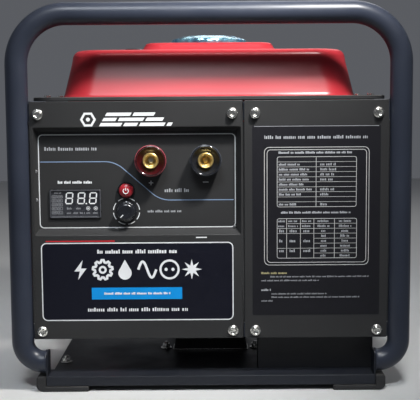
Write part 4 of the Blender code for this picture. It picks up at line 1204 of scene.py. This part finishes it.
# ---------------------------------------------------------------- engine
def make_crankcase():
    """Cast case with a split flange, ribs, side covers, bolts and an oil filler boss."""
    low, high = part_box("crankcase")
    inset = 0.0016
    sloped = 0.0371
    outline = [(low.y + inset, low.z), (high.y - inset, low.z), (high.y - inset, 0.1522),
               (sloped, high.z - inset), (-0.0193, high.z - inset), (low.y + inset, 0.1893)]
    body = prism(outline, "X", (low.x + inset, high.x - inset))
    add("case_body", body, "cast_aluminium", "crankcase", bevel=0.004)
    outline = [(low.y, low.z), (high.y, low.z), (high.y, 0.1528), (sloped, high.z), (-0.02, high.z),
               (low.y, 0.19)]
    add("case_flange", prism(outline, "X", (-0.0035, 0.0035)), "cast_aluminium", bevel=0.001)
    ribs = []
    for x in (-0.05, -0.036, -0.022, 0.018, 0.052):
        for front, back in ((low.y, low.y + 0.004), (high.y - 0.004, high.y)):
            top = 0.186 if front < 0 else 0.15
            ribs.append(prism(rect(x - 0.0012, x + 0.0012, front, back), "Z", (low.z + 0.006, top)))
    add("case_ribs", ribs, "cast_aluminium", bevel=0.0005)
    covers = []
    for sign in (-1, 1):
        profile = ((0.012, high.x - inset - 0.001), (0.05, high.x - inset - 0.001),
                   (0.05, high.x - 0.0004), (0.0494, high.x), (0.012, high.x))
        covers.append(stacked([(r, sign * x) for r, x in profile], "X", 64, True, AT_CRANK))
    add("case_covers", covers, "cast_aluminium")
    bolts = []
    for y, z in ((low.y, 0.055), (low.y, 0.11), (low.y, 0.165), (high.y, 0.055), (high.y, 0.105)):
        out = 1 if y > 0 else -1
        for x in (-0.009, 0.009):
            bolts.append(hex_head("Y", y - 0.0012 * out, out, (x, z), 0.0042, 0.0036))
    bolts.append(hex_head("Y", low.y + inset, -1, (-0.029, 0.052), 0.007, 0.005))
    add("case_bolts", bolts, "zinc")
    boss = ((0.005, low.y - 0.0002), (0.0132, low.y - 0.0002), (0.014, low.y + 0.0006),
            (0.015, low.y + 0.004), (0.005, low.y + 0.004))
    add("filler_boss", stacked(boss, "Y", ROUND, True, (0.035, 0.085)), "cast_aluminium")


def hex_head(axis, start, direction, centre, apothem, tall):
    """Washer and hexagon head standing on a face across the axis."""
    steps = (
        (apothem * 1.25, 0.0), (apothem * 1.25, 0.0009), (hexagon(apothem, 24), 0.001),
        (hexagon(apothem, 24), tall), (apothem * 0.92, tall + 0.0005), (apothem * 0.3, tall + 0.0005))
    return stacked(
        [(outline, direction * out) for outline, out in steps], axis, 24, centre=centre, base=start)


def beside_cylinder(distance, sideways=0.0):
    """World Y and Z of a point beside the tilted cylinder's axis."""
    lean = math.radians(45)
    return (CRANK.y + distance * math.sin(lean) + sideways * math.cos(lean),
            CRANK.z + distance * math.cos(lean) - sideways * math.sin(lean))


def make_cylinder():
    """Finned barrel and head on the sloping face of the case."""
    tilt = dict(place=(0.0, CRANK.y, CRANK.z), turn=(math.radians(-45), 0.0, 0.0))
    # Half width, corner and height of each ring.
    rows = [(0.045, 0.014, 0.0553), (0.045, 0.014, 0.0598), (0.036, 0.016, 0.06)]
    fins, first, pitch, thick = 8, 0.064, 0.0062, 0.0018
    for number in range(fins):
        z = first + number * pitch
        rows += [(0.036, 0.016, z), (0.0445, 0.012, z + 0.0003), (0.045, 0.012, z + 0.0007),
                 (0.045, 0.012, z + thick - 0.0004), (0.0445, 0.012, z + thick),
                 (0.036, 0.016, z + thick + 0.0003)]
    head = first + fins * pitch
    rows += [
        (0.0365, 0.014, head + 0.0003), (0.0425, 0.012, head + 0.0008), (0.043, 0.012, head + 0.0016),
        (0.043, 0.012, 0.1292), (0.0424, 0.012, 0.13), (0.03, 0.01, 0.13)]
    rings = [on_axis(rounded(half, half, corner, 6), z, "Z") for half, corner, z in rows]
    add("barrel_fins", skin(rings), "cast_aluminium", "cylinder", **tilt)
    nuts = []
    for u in (-0.0385, 0.0385):
        for v in (-0.0385, 0.0385):
            nuts.append(hex_head("Z", 0.06, 1, (u, v), 0.0038, 0.0032))
    add("barrel_nuts", nuts, "zinc", **tilt)
    # How much smaller than the cover's foot, corner and height.
    steps = (
        (0.0, 0.01, 0.1303), (0.0, 0.01, 0.1322), (0.0008, 0.01, 0.1328), (0.003, 0.011, 0.1332),
        (0.0042, 0.011, 0.1345), (0.0046, 0.011, 0.1425), (0.0058, 0.011, 0.1446),
        (0.0084, 0.01, 0.1458), (0.013, 0.008, 0.146))
    rings = [
        on_axis(rounded(0.038 - inset, 0.036 - inset, corner, 6), z, "Z") for inset, corner, z in steps]
    add("rocker_cover", skin(rings), "steel", "valve_cover", **tilt)
    beads = [
        prism(rounded_sides((x - 0.0022, x + 0.0022, -0.02, 0.02), 0.0021, 5), "Z", (0.1456, 0.1466))
        for x in (-0.014, 0.0, 0.014)]
    add("rocker_cover_beads", beads, "steel", bevel=0.0004, **tilt)
    screws = [hex_head("Z", 0.1322, 1, (u, v), 0.0022, 0.0022) for u in (-0.0352, 0.0352)
              for v in (-0.0332, 0.0332)]
    add("rocker_cover_screws", screws, "zinc", **tilt)
    y, z = beside_cylinder(0.119, -0.0433)
    profile = (
        (0.006, 0.0), (0.006, 0.0055), (0.0078, 0.0062), (0.0085, 0.0075), (0.0085, 0.011),
        (0.0076, 0.012), (0.0085, 0.013), (0.0085, 0.0165), (0.0076, 0.0175), (0.0085, 0.0185),
        (0.0085, 0.028), (0.008, 0.031), (0.006, 0.0338), (0.003, 0.034))
    add("plug_cap", stacked(profile, "Z"), "rubber", "spark_plug_boot", place=(0.0, y, z),
        turn=(math.radians(45), 0.0, 0.0))
    high_y, high_z = beside_cylinder(0.119, -0.0433 - 0.034)
    coil = (-0.059, 0.01, 0.222)
    route = [
        (0.0, high_y + 0.002, high_z - 0.002), (0.0, high_y - 0.004, high_z + 0.004),
        (-0.012, high_y - 0.014, high_z + 0.012), (-0.034, 0.052, 0.246), (-0.052, 0.03, 0.236), coil]
    add("plug_lead", swept(smooth_route(route, 10), 0.003, 16), "rubber")


def radial_slots(count, sides, corner, span):
    """Ring of rounded slots round the crank's axis, each on its own spoke."""
    slots = []
    for step in range(count):
        turn = 2 * math.pi * (step + 0.5) / count
        cosine, sine = math.cos(turn), math.sin(turn)
        outline = [
            (u * cosine - v * sine, u * sine + v * cosine) for u, v in rounded_sides(sides, corner, 5)]
        slots.append(prism(outline, "X", span, AT_CRANK))
    return joined(slots)


def make_fan_shroud():
    low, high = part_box("fan_shroud")
    outer = (high.z - low.z) / 2
    profile = [(0.04, high.x), (outer - 0.003, high.x), (outer - 0.001, high.x - 0.0008),
               (outer - 0.0005, high.x - 0.003)]
    for start in (high.x - 0.014, high.x - 0.052):
        profile += [(outer - 0.0005, start), (outer, start - 0.0012), (outer, start - 0.0028),
                    (outer - 0.0005, start - 0.004)]
    profile += [
        (outer - 0.0005, low.x + 0.0012), (outer - 0.0012, low.x), (0.06, low.x), (0.06, low.x + 0.002),
        (outer - 0.0025, low.x + 0.002), (outer - 0.0025, high.x - 0.002), (0.04, high.x - 0.002)]
    shell = add("shroud_shell", stacked(profile, "X", 96, True, AT_CRANK), "shroud_paint", "fan_shroud")
    slots = []
    for row in range(7):
        turn = math.radians(200 + 20 * row)
        spot = (CRANK.y + outer * math.cos(turn), CRANK.z + outer * math.sin(turn))
        slot = prism(rounded_sides((-0.0035, 0.0035, -0.012, 0.012), 0.003, 5), "X", (-0.008, 0.008))
        slot.transform(Matrix.Translation((high.x - 0.034, *spot)) @ Matrix.Rotation(turn, 4, "X")
                       @ Matrix.Rotation(math.radians(90), 4, "Z"))
        slots.append(slot)
    cut(shell, [joined(slots)])
    screws = [hex_head("X", high.x + 0.0001, 1, spot, 0.0034, 0.0016)
              for spot in circle(0.0835, 6, AT_CRANK, math.radians(30))]
    add("shroud_screws", screws, "zinc")


def make_recoil():
    """Starter cover with slots and ribs, its rope and grip."""
    profile = (
        (0.0055, -0.168), (0.033, -0.168), (0.0352, -0.1676), (0.059, -0.1606), (0.0612, -0.1594),
        (0.0768, -0.1368), (0.0784, -0.1352), (0.087, -0.1345), (0.088, -0.1341), (0.088, -0.1329),
        (0.0874, -0.1325), (0.0755, -0.1325), (0.058, -0.1575), (0.034, -0.1656), (0.011, -0.1656),
        (0.011, -0.14), (0.0055, -0.14))
    cover = add(
        "starter_cover", stacked(profile, "X", 96, True, AT_CRANK), "starter_paint", "recoil_cover")
    slots = radial_slots(18, (0.0425, 0.07, -0.0034, 0.0034), 0.003, (-0.172, -0.1385))
    low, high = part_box("starter_rope")
    rope_x, rope_z = across("starter_rope", "Y")
    mouth = prism(circle(0.0042, 24), "Y", (0.098, 0.13), (rope_x, rope_z))
    cut(cover, [slots, mouth])
    screws = [hex_head("X", -0.1345, -1, spot, 0.0036, 0.003)
              for spot in circle(0.0825, 3, AT_CRANK, math.radians(10))]
    add("starter_screws", screws, "zinc")
    cap = ((0.0002, -0.1684), (0.018, -0.1684), (0.02, -0.1692), (0.02, -0.17), (0.0184, -0.1706),
           (0.0002, -0.1708))
    add("starter_centre", stacked(cap, "X", centre=AT_CRANK), "zinc")
    radius = (high.x - low.x) / 2
    add("starter_cord", swept([(rope_x, low.y, rope_z), (rope_x, high.y, rope_z)], radius, 24), "rope",
        "starter_rope")
    half = [(0.0079, 0.0), (0.0081, 0.0025), (0.0089, 0.0065), (0.0084, 0.0105), (0.0079, 0.013),
            (0.0084, 0.0155), (0.009, 0.02), (0.0088, 0.025), (0.008, 0.029), (0.0062, 0.0313),
            (0.003, 0.032)]
    rings = [(r, -z) for r, z in reversed(half)] + half[1:]
    add("starter_grip", stacked(rings, "Z"), "black_plastic", "recoil_handle",
        place=middle("recoil_handle"))


def make_alternator():
    """Ribbed housing with vents in its end and through bolts."""
    low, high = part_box("alternator_housing")
    outer = (high.z - low.z) / 2
    count, ribs = 288, 36

    def ribbed(radius):
        return waved(radius, 0.0022, ribs, count)

    steps = (
        (0.0107, high.x), (0.062, high.x), (0.0655, high.x - 0.001), (0.0672, high.x - 0.0035),
        (ribbed(outer), high.x - 0.005), (ribbed(outer), low.x + 0.007),
        (outer - 0.0004, low.x + 0.006), (outer, low.x + 0.005), (outer, low.x), (0.066, low.x),
        (0.066, high.x - 0.003), (0.0107, high.x - 0.003))
    mesh = stacked(steps, "X", count, True, AT_CRANK)
    shell = add("generator_shell", mesh, "cast_aluminium", "alternator_housing")
    slots = radial_slots(12, (0.025, 0.052, -0.0036, 0.0036), 0.0034, (high.x - 0.006, high.x + 0.004))
    cut(shell, [slots])
    heads = [hex_head("X", high.x - 0.0001, 1, spot, 0.0036, 0.0034)
             for spot in circle(0.0585, 4, AT_CRANK, math.pi / 4)]
    heads.append(hex_head("X", high.x + 0.0001, 1, AT_CRANK, 0.0075, 0.006))
    add("generator_bolts", heads, "zinc")


def make_exhaust():
    """Muffler with a seam and a tail stub, and its slotted guard."""
    low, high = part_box("muffler")
    centre = (0.125, 0.2525)
    seam = 0.1375
    inlet = ((0.01, low.x + 0.0004), (0.012, low.x + 0.0004), (0.012, 0.078), (0.0135, 0.0796))
    # How much narrower than the shell, corner and X.
    steps = (
        (0.004, 0.017, 0.08), (0.0012, 0.018, 0.0808), (0.0, 0.018, 0.083), (0.0, 0.018, seam - 0.0016),
        (-0.0022, 0.02, seam - 0.0012), (-0.0026, 0.02, seam), (-0.0022, 0.02, seam + 0.0012),
        (0.0, 0.018, seam + 0.0016), (0.0, 0.018, high.x - 0.004), (0.0012, 0.018, high.x - 0.0012),
        (0.004, 0.017, high.x))
    dish = ((0.024, 0.036, 0.014, high.x), (0.023, 0.035, 0.014, high.x - 0.0016),
            (0.012, 0.02, 0.008, high.x - 0.0016))
    rings = [on_axis(circle(radius, 40), x, "X", PORT) for radius, x in inlet]
    rings += [on_axis(rounded(0.035 - inset, 0.0475 - inset, corner), x, "X", centre)
              for inset, corner, x in steps]
    rings += [on_axis(rounded(*size), x, "X", centre) for *size, x in dish]
    add("muffler_shell", skin(rings), "exhaust_paint", "muffler")
    flange = prism(rounded(0.021, 0.016, 0.007, 6), "X", (low.x + 0.0006, low.x + 0.005), PORT)
    add("exhaust_flange", flange, "exhaust_paint", bevel=0.0006)
    nuts = [hex_head("X", low.x + 0.005, 1, (PORT[0] + side * 0.0165, PORT[1]), 0.0034, 0.0038)
            for side in (-1, 1)]
    add("exhaust_nuts", nuts, "steel")
    tail = ((0.0062, high.x - 0.001), (0.0075, high.x - 0.001), (0.0075, high.x + 0.009),
            (0.007, high.x + 0.0094), (0.0062, high.x + 0.009))
    add("tail_stub", stacked(tail, "X", ROUND, True, (0.122, 0.228)), "exhaust_paint")
    low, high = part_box("muffler_guard")
    thick, bend = 0.0012, 0.006
    outer = [(low.y, high.z), *arc((high.y - bend, high.z - bend), bend, 90, 0, 8), (high.y, low.z)]
    inner = [(high.y - thick, low.z), *arc((high.y - bend, high.z - bend), bend - thick, 0, 90, 8),
             (low.y, high.z - thick)]
    guard = add("guard_sheet", prism(outer + inner, "X", (low.x, high.x)), "steel", "muffler_guard")
    holes = []
    spots = 8
    for step in range(spots):
        x = low.x + (high.x - low.x) * (step + 0.75) / (spots + 0.5)
        for start, end in ((low.z + 0.011, low.z + 0.046), (low.z + 0.054, low.z + 0.09)):
            holes.append(prism(rounded_sides((x - 0.003, x + 0.003, start, end), 0.0028, 5), "Y",
                               (high.y - 0.006, high.y + 0.004)))
        holes.append(
            prism(rounded_sides((x - 0.003, x + 0.003, low.y + 0.01, high.y - 0.016), 0.0028, 5), "Z",
                  (high.z - 0.006, high.z + 0.004)))
    cut(guard, [joined(holes)])
    posts = []
    for x in (low.x + 0.008, high.x - 0.008):
        for z in (0.235, 0.27):
            posts.append(
                stacked(((0.003, 0.1595), (0.003, high.y - thick - 0.0001)), "Y", 20, False, (x, z)))
            posts.append(hex_head("Y", high.y, 1, (x, z), 0.0034, 0.0028))
    add("guard_posts", posts, "zinc")


def arm_outline(hub, neck, tip, tip_z, start):
    """Lever that hangs from its pivot: round hub, straight sides and a rounded tip."""
    end = arc((0.0, tip_z), tip, 180 + start, 360 - start, 8)
    return [*arc((0.0, 0.0), hub, 0, 180, 16), (-neck[0], neck[1]), *end, neck]


def make_intake():
    """Carburettor with float bowl, throttle and screws; the air cleaner with clips and ribs."""
    profile = (
        (0.006, -0.0842), (0.0128, -0.0842), (0.0134, -0.0836), (0.016, -0.0826), (0.016, -0.079),
        (0.0148, -0.078), (0.0148, -0.056), (0.016, -0.055), (0.016, -0.0502), (0.0134, -0.0464),
        (0.006, -0.046))
    add("carburettor_body", stacked(profile, "X", centre=PORT), "cast_aluminium", "carburettor")
    spot = (CARB_X, PORT[0])
    bowl = ((0.003, 0.212), (0.0118, 0.2131), (0.014, 0.2142), (0.015, 0.216), (0.015, 0.2255),
            (0.016, 0.226), (0.016, 0.229), (0.015, 0.2296), (0.015, 0.234))
    add("float_chamber", stacked(bowl, "Z", centre=spot), "cast_aluminium")
    drain = ((0.001, 0.2092), (0.0038, 0.2094), (0.0042, 0.21), (0.0042, 0.2124))
    idle = ((0.001, -0.0165), (0.0034, -0.0163), (0.0036, -0.0158), (0.0036, -0.0135))
    idle_screw = stacked(idle, "Z", 24)
    idle_screw.transform(
        Matrix.Translation((-0.0735, PORT[0], PORT[1])) @ Matrix.Rotation(math.radians(-60), 4, "X"))
    add("carburettor_screws", [stacked(drain, "Z", 24, False, spot), idle_screw], "brass")
    rod = [
        (-0.058, PORT[0] - 0.015, PORT[1] + 0.006), (-0.058, PORT[0] - 0.019, PORT[1] + 0.012),
        (-0.054, 0.082, 0.254), (-0.05, 0.064, 0.247), (-0.048, 0.056, 0.229), (-0.048, 0.0545, 0.215)]
    add("governor_rod", swept(smooth_route(rod, 8), 0.0011, 12), "zinc")
    centre = (-0.13, 0.1225)
    low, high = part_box("air_cleaner")
    # Inset from the case, corner and height.
    steps = (
        (0.006, 0.012, low.z), (0.0036, 0.014, low.z + 0.0006), (0.0008, 0.016, low.z + 0.004),
        (0.0, 0.016, low.z + 0.007), (0.0, 0.016, low.z + 0.054), (0.0016, 0.015, low.z + 0.0546),
        (0.0016, 0.015, low.z + 0.0566), (0.0, 0.016, low.z + 0.0572), (0.0, 0.016, high.z - 0.0075),
        (0.0014, 0.016, high.z - 0.0036), (0.0044, 0.015, high.z - 0.0012),
        (0.008, 0.013, high.z - 0.0008), (0.02, 0.008, high.z - 0.0008))
    rings = [on_axis(rounded(0.045 - inset, 0.0375 - inset, corner), z, "Z", centre)
             for inset, corner, z in steps]
    add("cleaner_case", skin(rings), "black_plastic", "air_cleaner")
    ribs = [prism(rounded_sides((centre[0] + x - 0.0014, centre[0] + x + 0.0014, centre[1] - 0.024,
                                 centre[1] + 0.024), 0.0013, 4), "Z", (high.z - 0.0014, high.z))
            for x in (-0.03, -0.022, 0.022, 0.03)]
    add("cleaner_ribs", ribs, "black_plastic")
    knob = ((0.002, high.z - 0.001), (0.0105, high.z - 0.001), (0.011, high.z), (0.01, high.z + 0.0008),
            (0.002, high.z + 0.001))
    nut = [stacked(knob, "Z", centre=centre)]
    nut.append(prism(rounded_sides((-0.011, 0.011, -0.0013, 0.0013), 0.0012, 4), "Z",
                     (high.z + 0.0008, high.z + 0.0062), centre))
    add("cleaner_nut", nut, "zinc")
    clips = []
    for side in (-1, 1):
        x = centre[0] + side * 0.018
        y = centre[1] + 0.0375
        strap = [
            (y + 0.0004, low.z + 0.04), (y + 0.0018, low.z + 0.04), (y + 0.0026, low.z + 0.054),
            (y + 0.0018, high.z - 0.012), (y + 0.0004, high.z - 0.012), (y + 0.0012, low.z + 0.054)]
        clips.append(prism(strap, "X", (x - 0.005, x + 0.005)))
    add("cleaner_clips", clips, "steel", bevel=0.0003)
    low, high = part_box("choke_lever")
    pivot = (CARB_X, PORT[1])
    arm = arm_outline(0.0045, (0.003, -0.0145), 0.003, -0.013, 30)
    mesh = prism(arm, "Y", (low.y, high.y), pivot)
    add("choke_arm", mesh, "zinc", "choke_lever")


def make_fuel_line():
    """Shut-off valve with its lever, and the hose with a clip at each end."""
    x, y = across("fuel_valve", "Z")
    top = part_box("fuel_valve")[1].z
    profile = (
        (0.006, 0.0), (0.006, -0.006), (0.0084, -0.0064), (0.009, -0.0074), (0.009, -0.011),
        (0.008, -0.0116), (0.008, -0.021), (0.009, -0.0216), (0.009, -0.0236), (0.006, -0.0252),
        (0.003, -0.0256), (0.003, -0.0285), (0.0036, -0.029), (0.003, -0.03), (0.0026, -0.032))
    add("valve_body", stacked(profile, "Z", centre=(x, y), base=top), "cast_aluminium", "fuel_valve")
    low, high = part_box("fuel_valve_lever")
    pivot = (y, top - 0.0165)
    arm = arm_outline(0.005, (0.0036, -0.0175), 0.0035, -0.0165, 15)
    add("valve_lever", prism(arm, "X", (low.x, high.x), pivot), "red_plastic", "fuel_valve_lever",
        bevel=0.0007)
    stub = top - 0.0323
    route = [
        (x, y, stub), (x, y, stub - 0.005), (x, y, stub - 0.009), (x + 0.012, y + 0.018, stub - 0.018),
        (-0.1, 0.02, 0.263), (-0.072, 0.08, 0.272), (CARB_X, 0.105, 0.273), (CARB_X, PORT[0], 0.266),
        (CARB_X, PORT[0], 0.261), (CARB_X, PORT[0], 0.2568)]
    add("hose_tube", swept(smooth_route(route, 10), 0.003, 24), "rubber", "fuel_hose")
    band = ((0.0031, -0.0016), (0.0039, -0.0014), (0.0039, 0.0014), (0.0031, 0.0016))
    clips = [stacked(band, "Z", 32, True, spot, z)
             for spot, z in (((x, y), stub - 0.0035), ((CARB_X, PORT[0]), 0.26))]
    add("hose_clips", clips, "zinc")


def make_dipstick():
    low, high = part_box("oil_dipstick")
    spot = across("oil_dipstick", "Y")
    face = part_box("crankcase")[0].y - 0.0003
    count = 96
    wing = [(u, v * 0.55) for u, v in circle(0.009, count)]
    steps = ((0.003, high.y), (0.003, face), (0.0106, face),
             (waved(0.011, 0.0006, 24, count), face - 0.0008),
             (waved(0.011, 0.0006, 24, count), face - 0.004), (0.01, face - 0.0048),
             (wing, face - 0.0052), (wing, low.y + 0.0008),
             ([(0.92 * u, 0.86 * v) for u, v in wing], low.y))
    mesh = stacked(steps, "Y", count, centre=spot)
    add("oil_plug", mesh, "black_plastic", "oil_dipstick")


def make_mounts():
    """Rubber blocks between two steel plates."""
    plates = []
    for node in ("engine_mount_front", "engine_mount_rear"):
        low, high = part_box(node)
        mid = (low.z + high.z) / 2
        sides = (low.x, high.x, low.y, high.y)
        steps = ((grown(sides, -0.0012), low.z + 0.0019), (grown(sides, -0.003), mid - 0.004),
                 (grown(sides, -0.003), mid + 0.004), (grown(sides, -0.0012), high.z - 0.0019))
        rings = [on_axis(rounded_sides(s, 0.004, 4), z, "Z") for s, z in steps]
        add(f"{node}_rubber", skin(rings), "rubber", node)
        for start in (low.z, high.z - 0.0018):
            plates.append(prism(rounded_sides(sides, 0.003, 4), "Z", (start, start + 0.0018)))
    add("mount_plates", plates, "zinc", bevel=0.0004)


# ---------------------------------------------------------------- inverter
def make_inverter():
    """Finned heat sink, darkened as painted shade under the panels, its fan with curved blades, and the
    mains outlet.
    """
    low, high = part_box("inverter_housing")
    back = low.y + 0.036
    fins = 17
    pitch = (high.x - low.x) / fins
    half = [(low.x, low.y), (high.x, low.y), (high.x, back)]
    for number in reversed(range(fins)):
        mid = low.x + pitch * (number + 0.5)
        half += [
            (mid + 0.0013, back), (mid + 0.001, high.y), (mid - 0.001, high.y), (mid - 0.0013, back)]
    half.append((low.x, back))
    # The cast aluminium heat sink gets a dark look: painted shade for the dark space under the panels.
    sink = add("inverter_sink", prism(half, "Z", (low.z, high.z)), "cast_aluminium", "inverter_housing",
               look=paint["dark_cast_painted_shade"])
    fan_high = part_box("inverter_fan")[1]
    spot = across("inverter_fan", "Y")
    cut(sink, [prism(circle(0.0135, 32), "Y", (back + 0.001, high.y + 0.004), spot)])
    hub = ((0.004, back + 0.004), (0.012, back + 0.0045), (0.012, fan_high.y - 0.0012),
           (0.0108, fan_high.y - 0.0002), (0.004, fan_high.y))
    parts = [stacked(hub, "Y", centre=spot)]
    start, end = fan_high.y - 0.011, fan_high.y
    for number in range(7):
        rings = []
        for step in range(7):
            radius = 0.0115 + 0.03 * step / 6
            lead = 2 * math.pi * number / 7 + 0.25 * step / 6
            sweep = 0.62 - 0.2 * step / 6
            thick = 0.0008 / radius
            quad = ((lead, start), (lead + sweep, end - 0.0008), (lead + sweep + thick, end - 0.0008),
                    (lead + thick, start))
            rings.append([Vector((spot[0] + radius * math.cos(a), y, spot[1] + radius * math.sin(a)))
                          for a, y in quad])
        parts.append(skin(rings))
    add("fan_rotor", parts, "black_plastic", "inverter_fan")
    low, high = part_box("ac_outlet")
    spot = across("ac_outlet", "X")
    half = (high.y - low.y) / 2
    steps = (
        (half - 0.0008, 0.006, low.x), (half, 0.006, low.x + 0.001), (half, 0.006, high.x - 0.003),
        (half - 0.001, 0.006, high.x - 0.0008), (half - 0.0026, 0.005, high.x), (0.0205, 0.018, high.x),
        (0.019, 0.0185, high.x - 0.0006), (0.0186, 0.0185, high.x - 0.0016),
        (0.0185, 0.0184, high.x - 0.0148), (0.006, 0.0059, high.x - 0.0148))
    rings = [on_axis(rounded(h, h, min(c, h - 0.0001), 8), x, "X", spot) for h, c, x in steps]
    face = add("outlet_box", skin(rings), "black_plastic", "ac_outlet")
    deep = high.x - 0.0148
    slots = [prism(rounded(0.0011, 0.004, 0.0003, 3), "X", (deep - 0.008, deep + 0.003),
                   (spot[0] + y, spot[1] + 0.0025)) for y in (-0.0064, 0.0064)]
    slots.append(
        prism(circle(0.0025, 24), "X", (deep - 0.008, deep + 0.003), (spot[0], spot[1] - 0.0085)))
    cut(face, [joined(slots)])
    head, corner = ((0.0003, 0.0004), (0.0016, 0.0003), (0.0022, -0.0001), (0.0022, -0.0012)), 0.0203
    screws = [stacked(head, "X", 24, False, (spot[0] + u * corner, spot[1] + v * corner), high.x)
              for u in (-1, 1) for v in (-1, 1)]
    add("outlet_screws", screws, "zinc")


# ---------------------------------------------------------------- carried CAD nodes
CARRIED = {
    "steel": ("crankshaft", "alternator_rotor"),
    "cast_aluminium": ("flywheel_fan",),
    "copper_winding": ("alternator_stator",),
    "black_plastic": ("rope_reel",),
}


def dress_carried():
    for slot, names in CARRIED.items():
        for name in names:
            mesh = frame["nodes"][name].data
            mesh.materials.clear()
            mesh.materials.append(paint[slot])


paint = make_palette()
inks = make_print_palette()
make_studio()
make_hoop("front_hoop", 0.06)
make_hoop("rear_hoop", 0.03)
make_tray()
make_feet()
make_rails()
make_control_panel()
make_rating_panel()
make_bolts()
make_display()
make_knob()
make_button()
make_sockets()
make_gap_shade_strips()
make_recess_rivets()
print_recess()
print_display()
print_name_plate()
print_rating_label()
make_tank()
make_cap()
make_gauge()
make_crankcase()
make_cylinder()
make_fan_shroud()
make_recoil()
make_alternator()
make_exhaust()
make_intake()
make_fuel_line()
make_dipstick()
make_mounts()
make_inverter()
dress_carried()
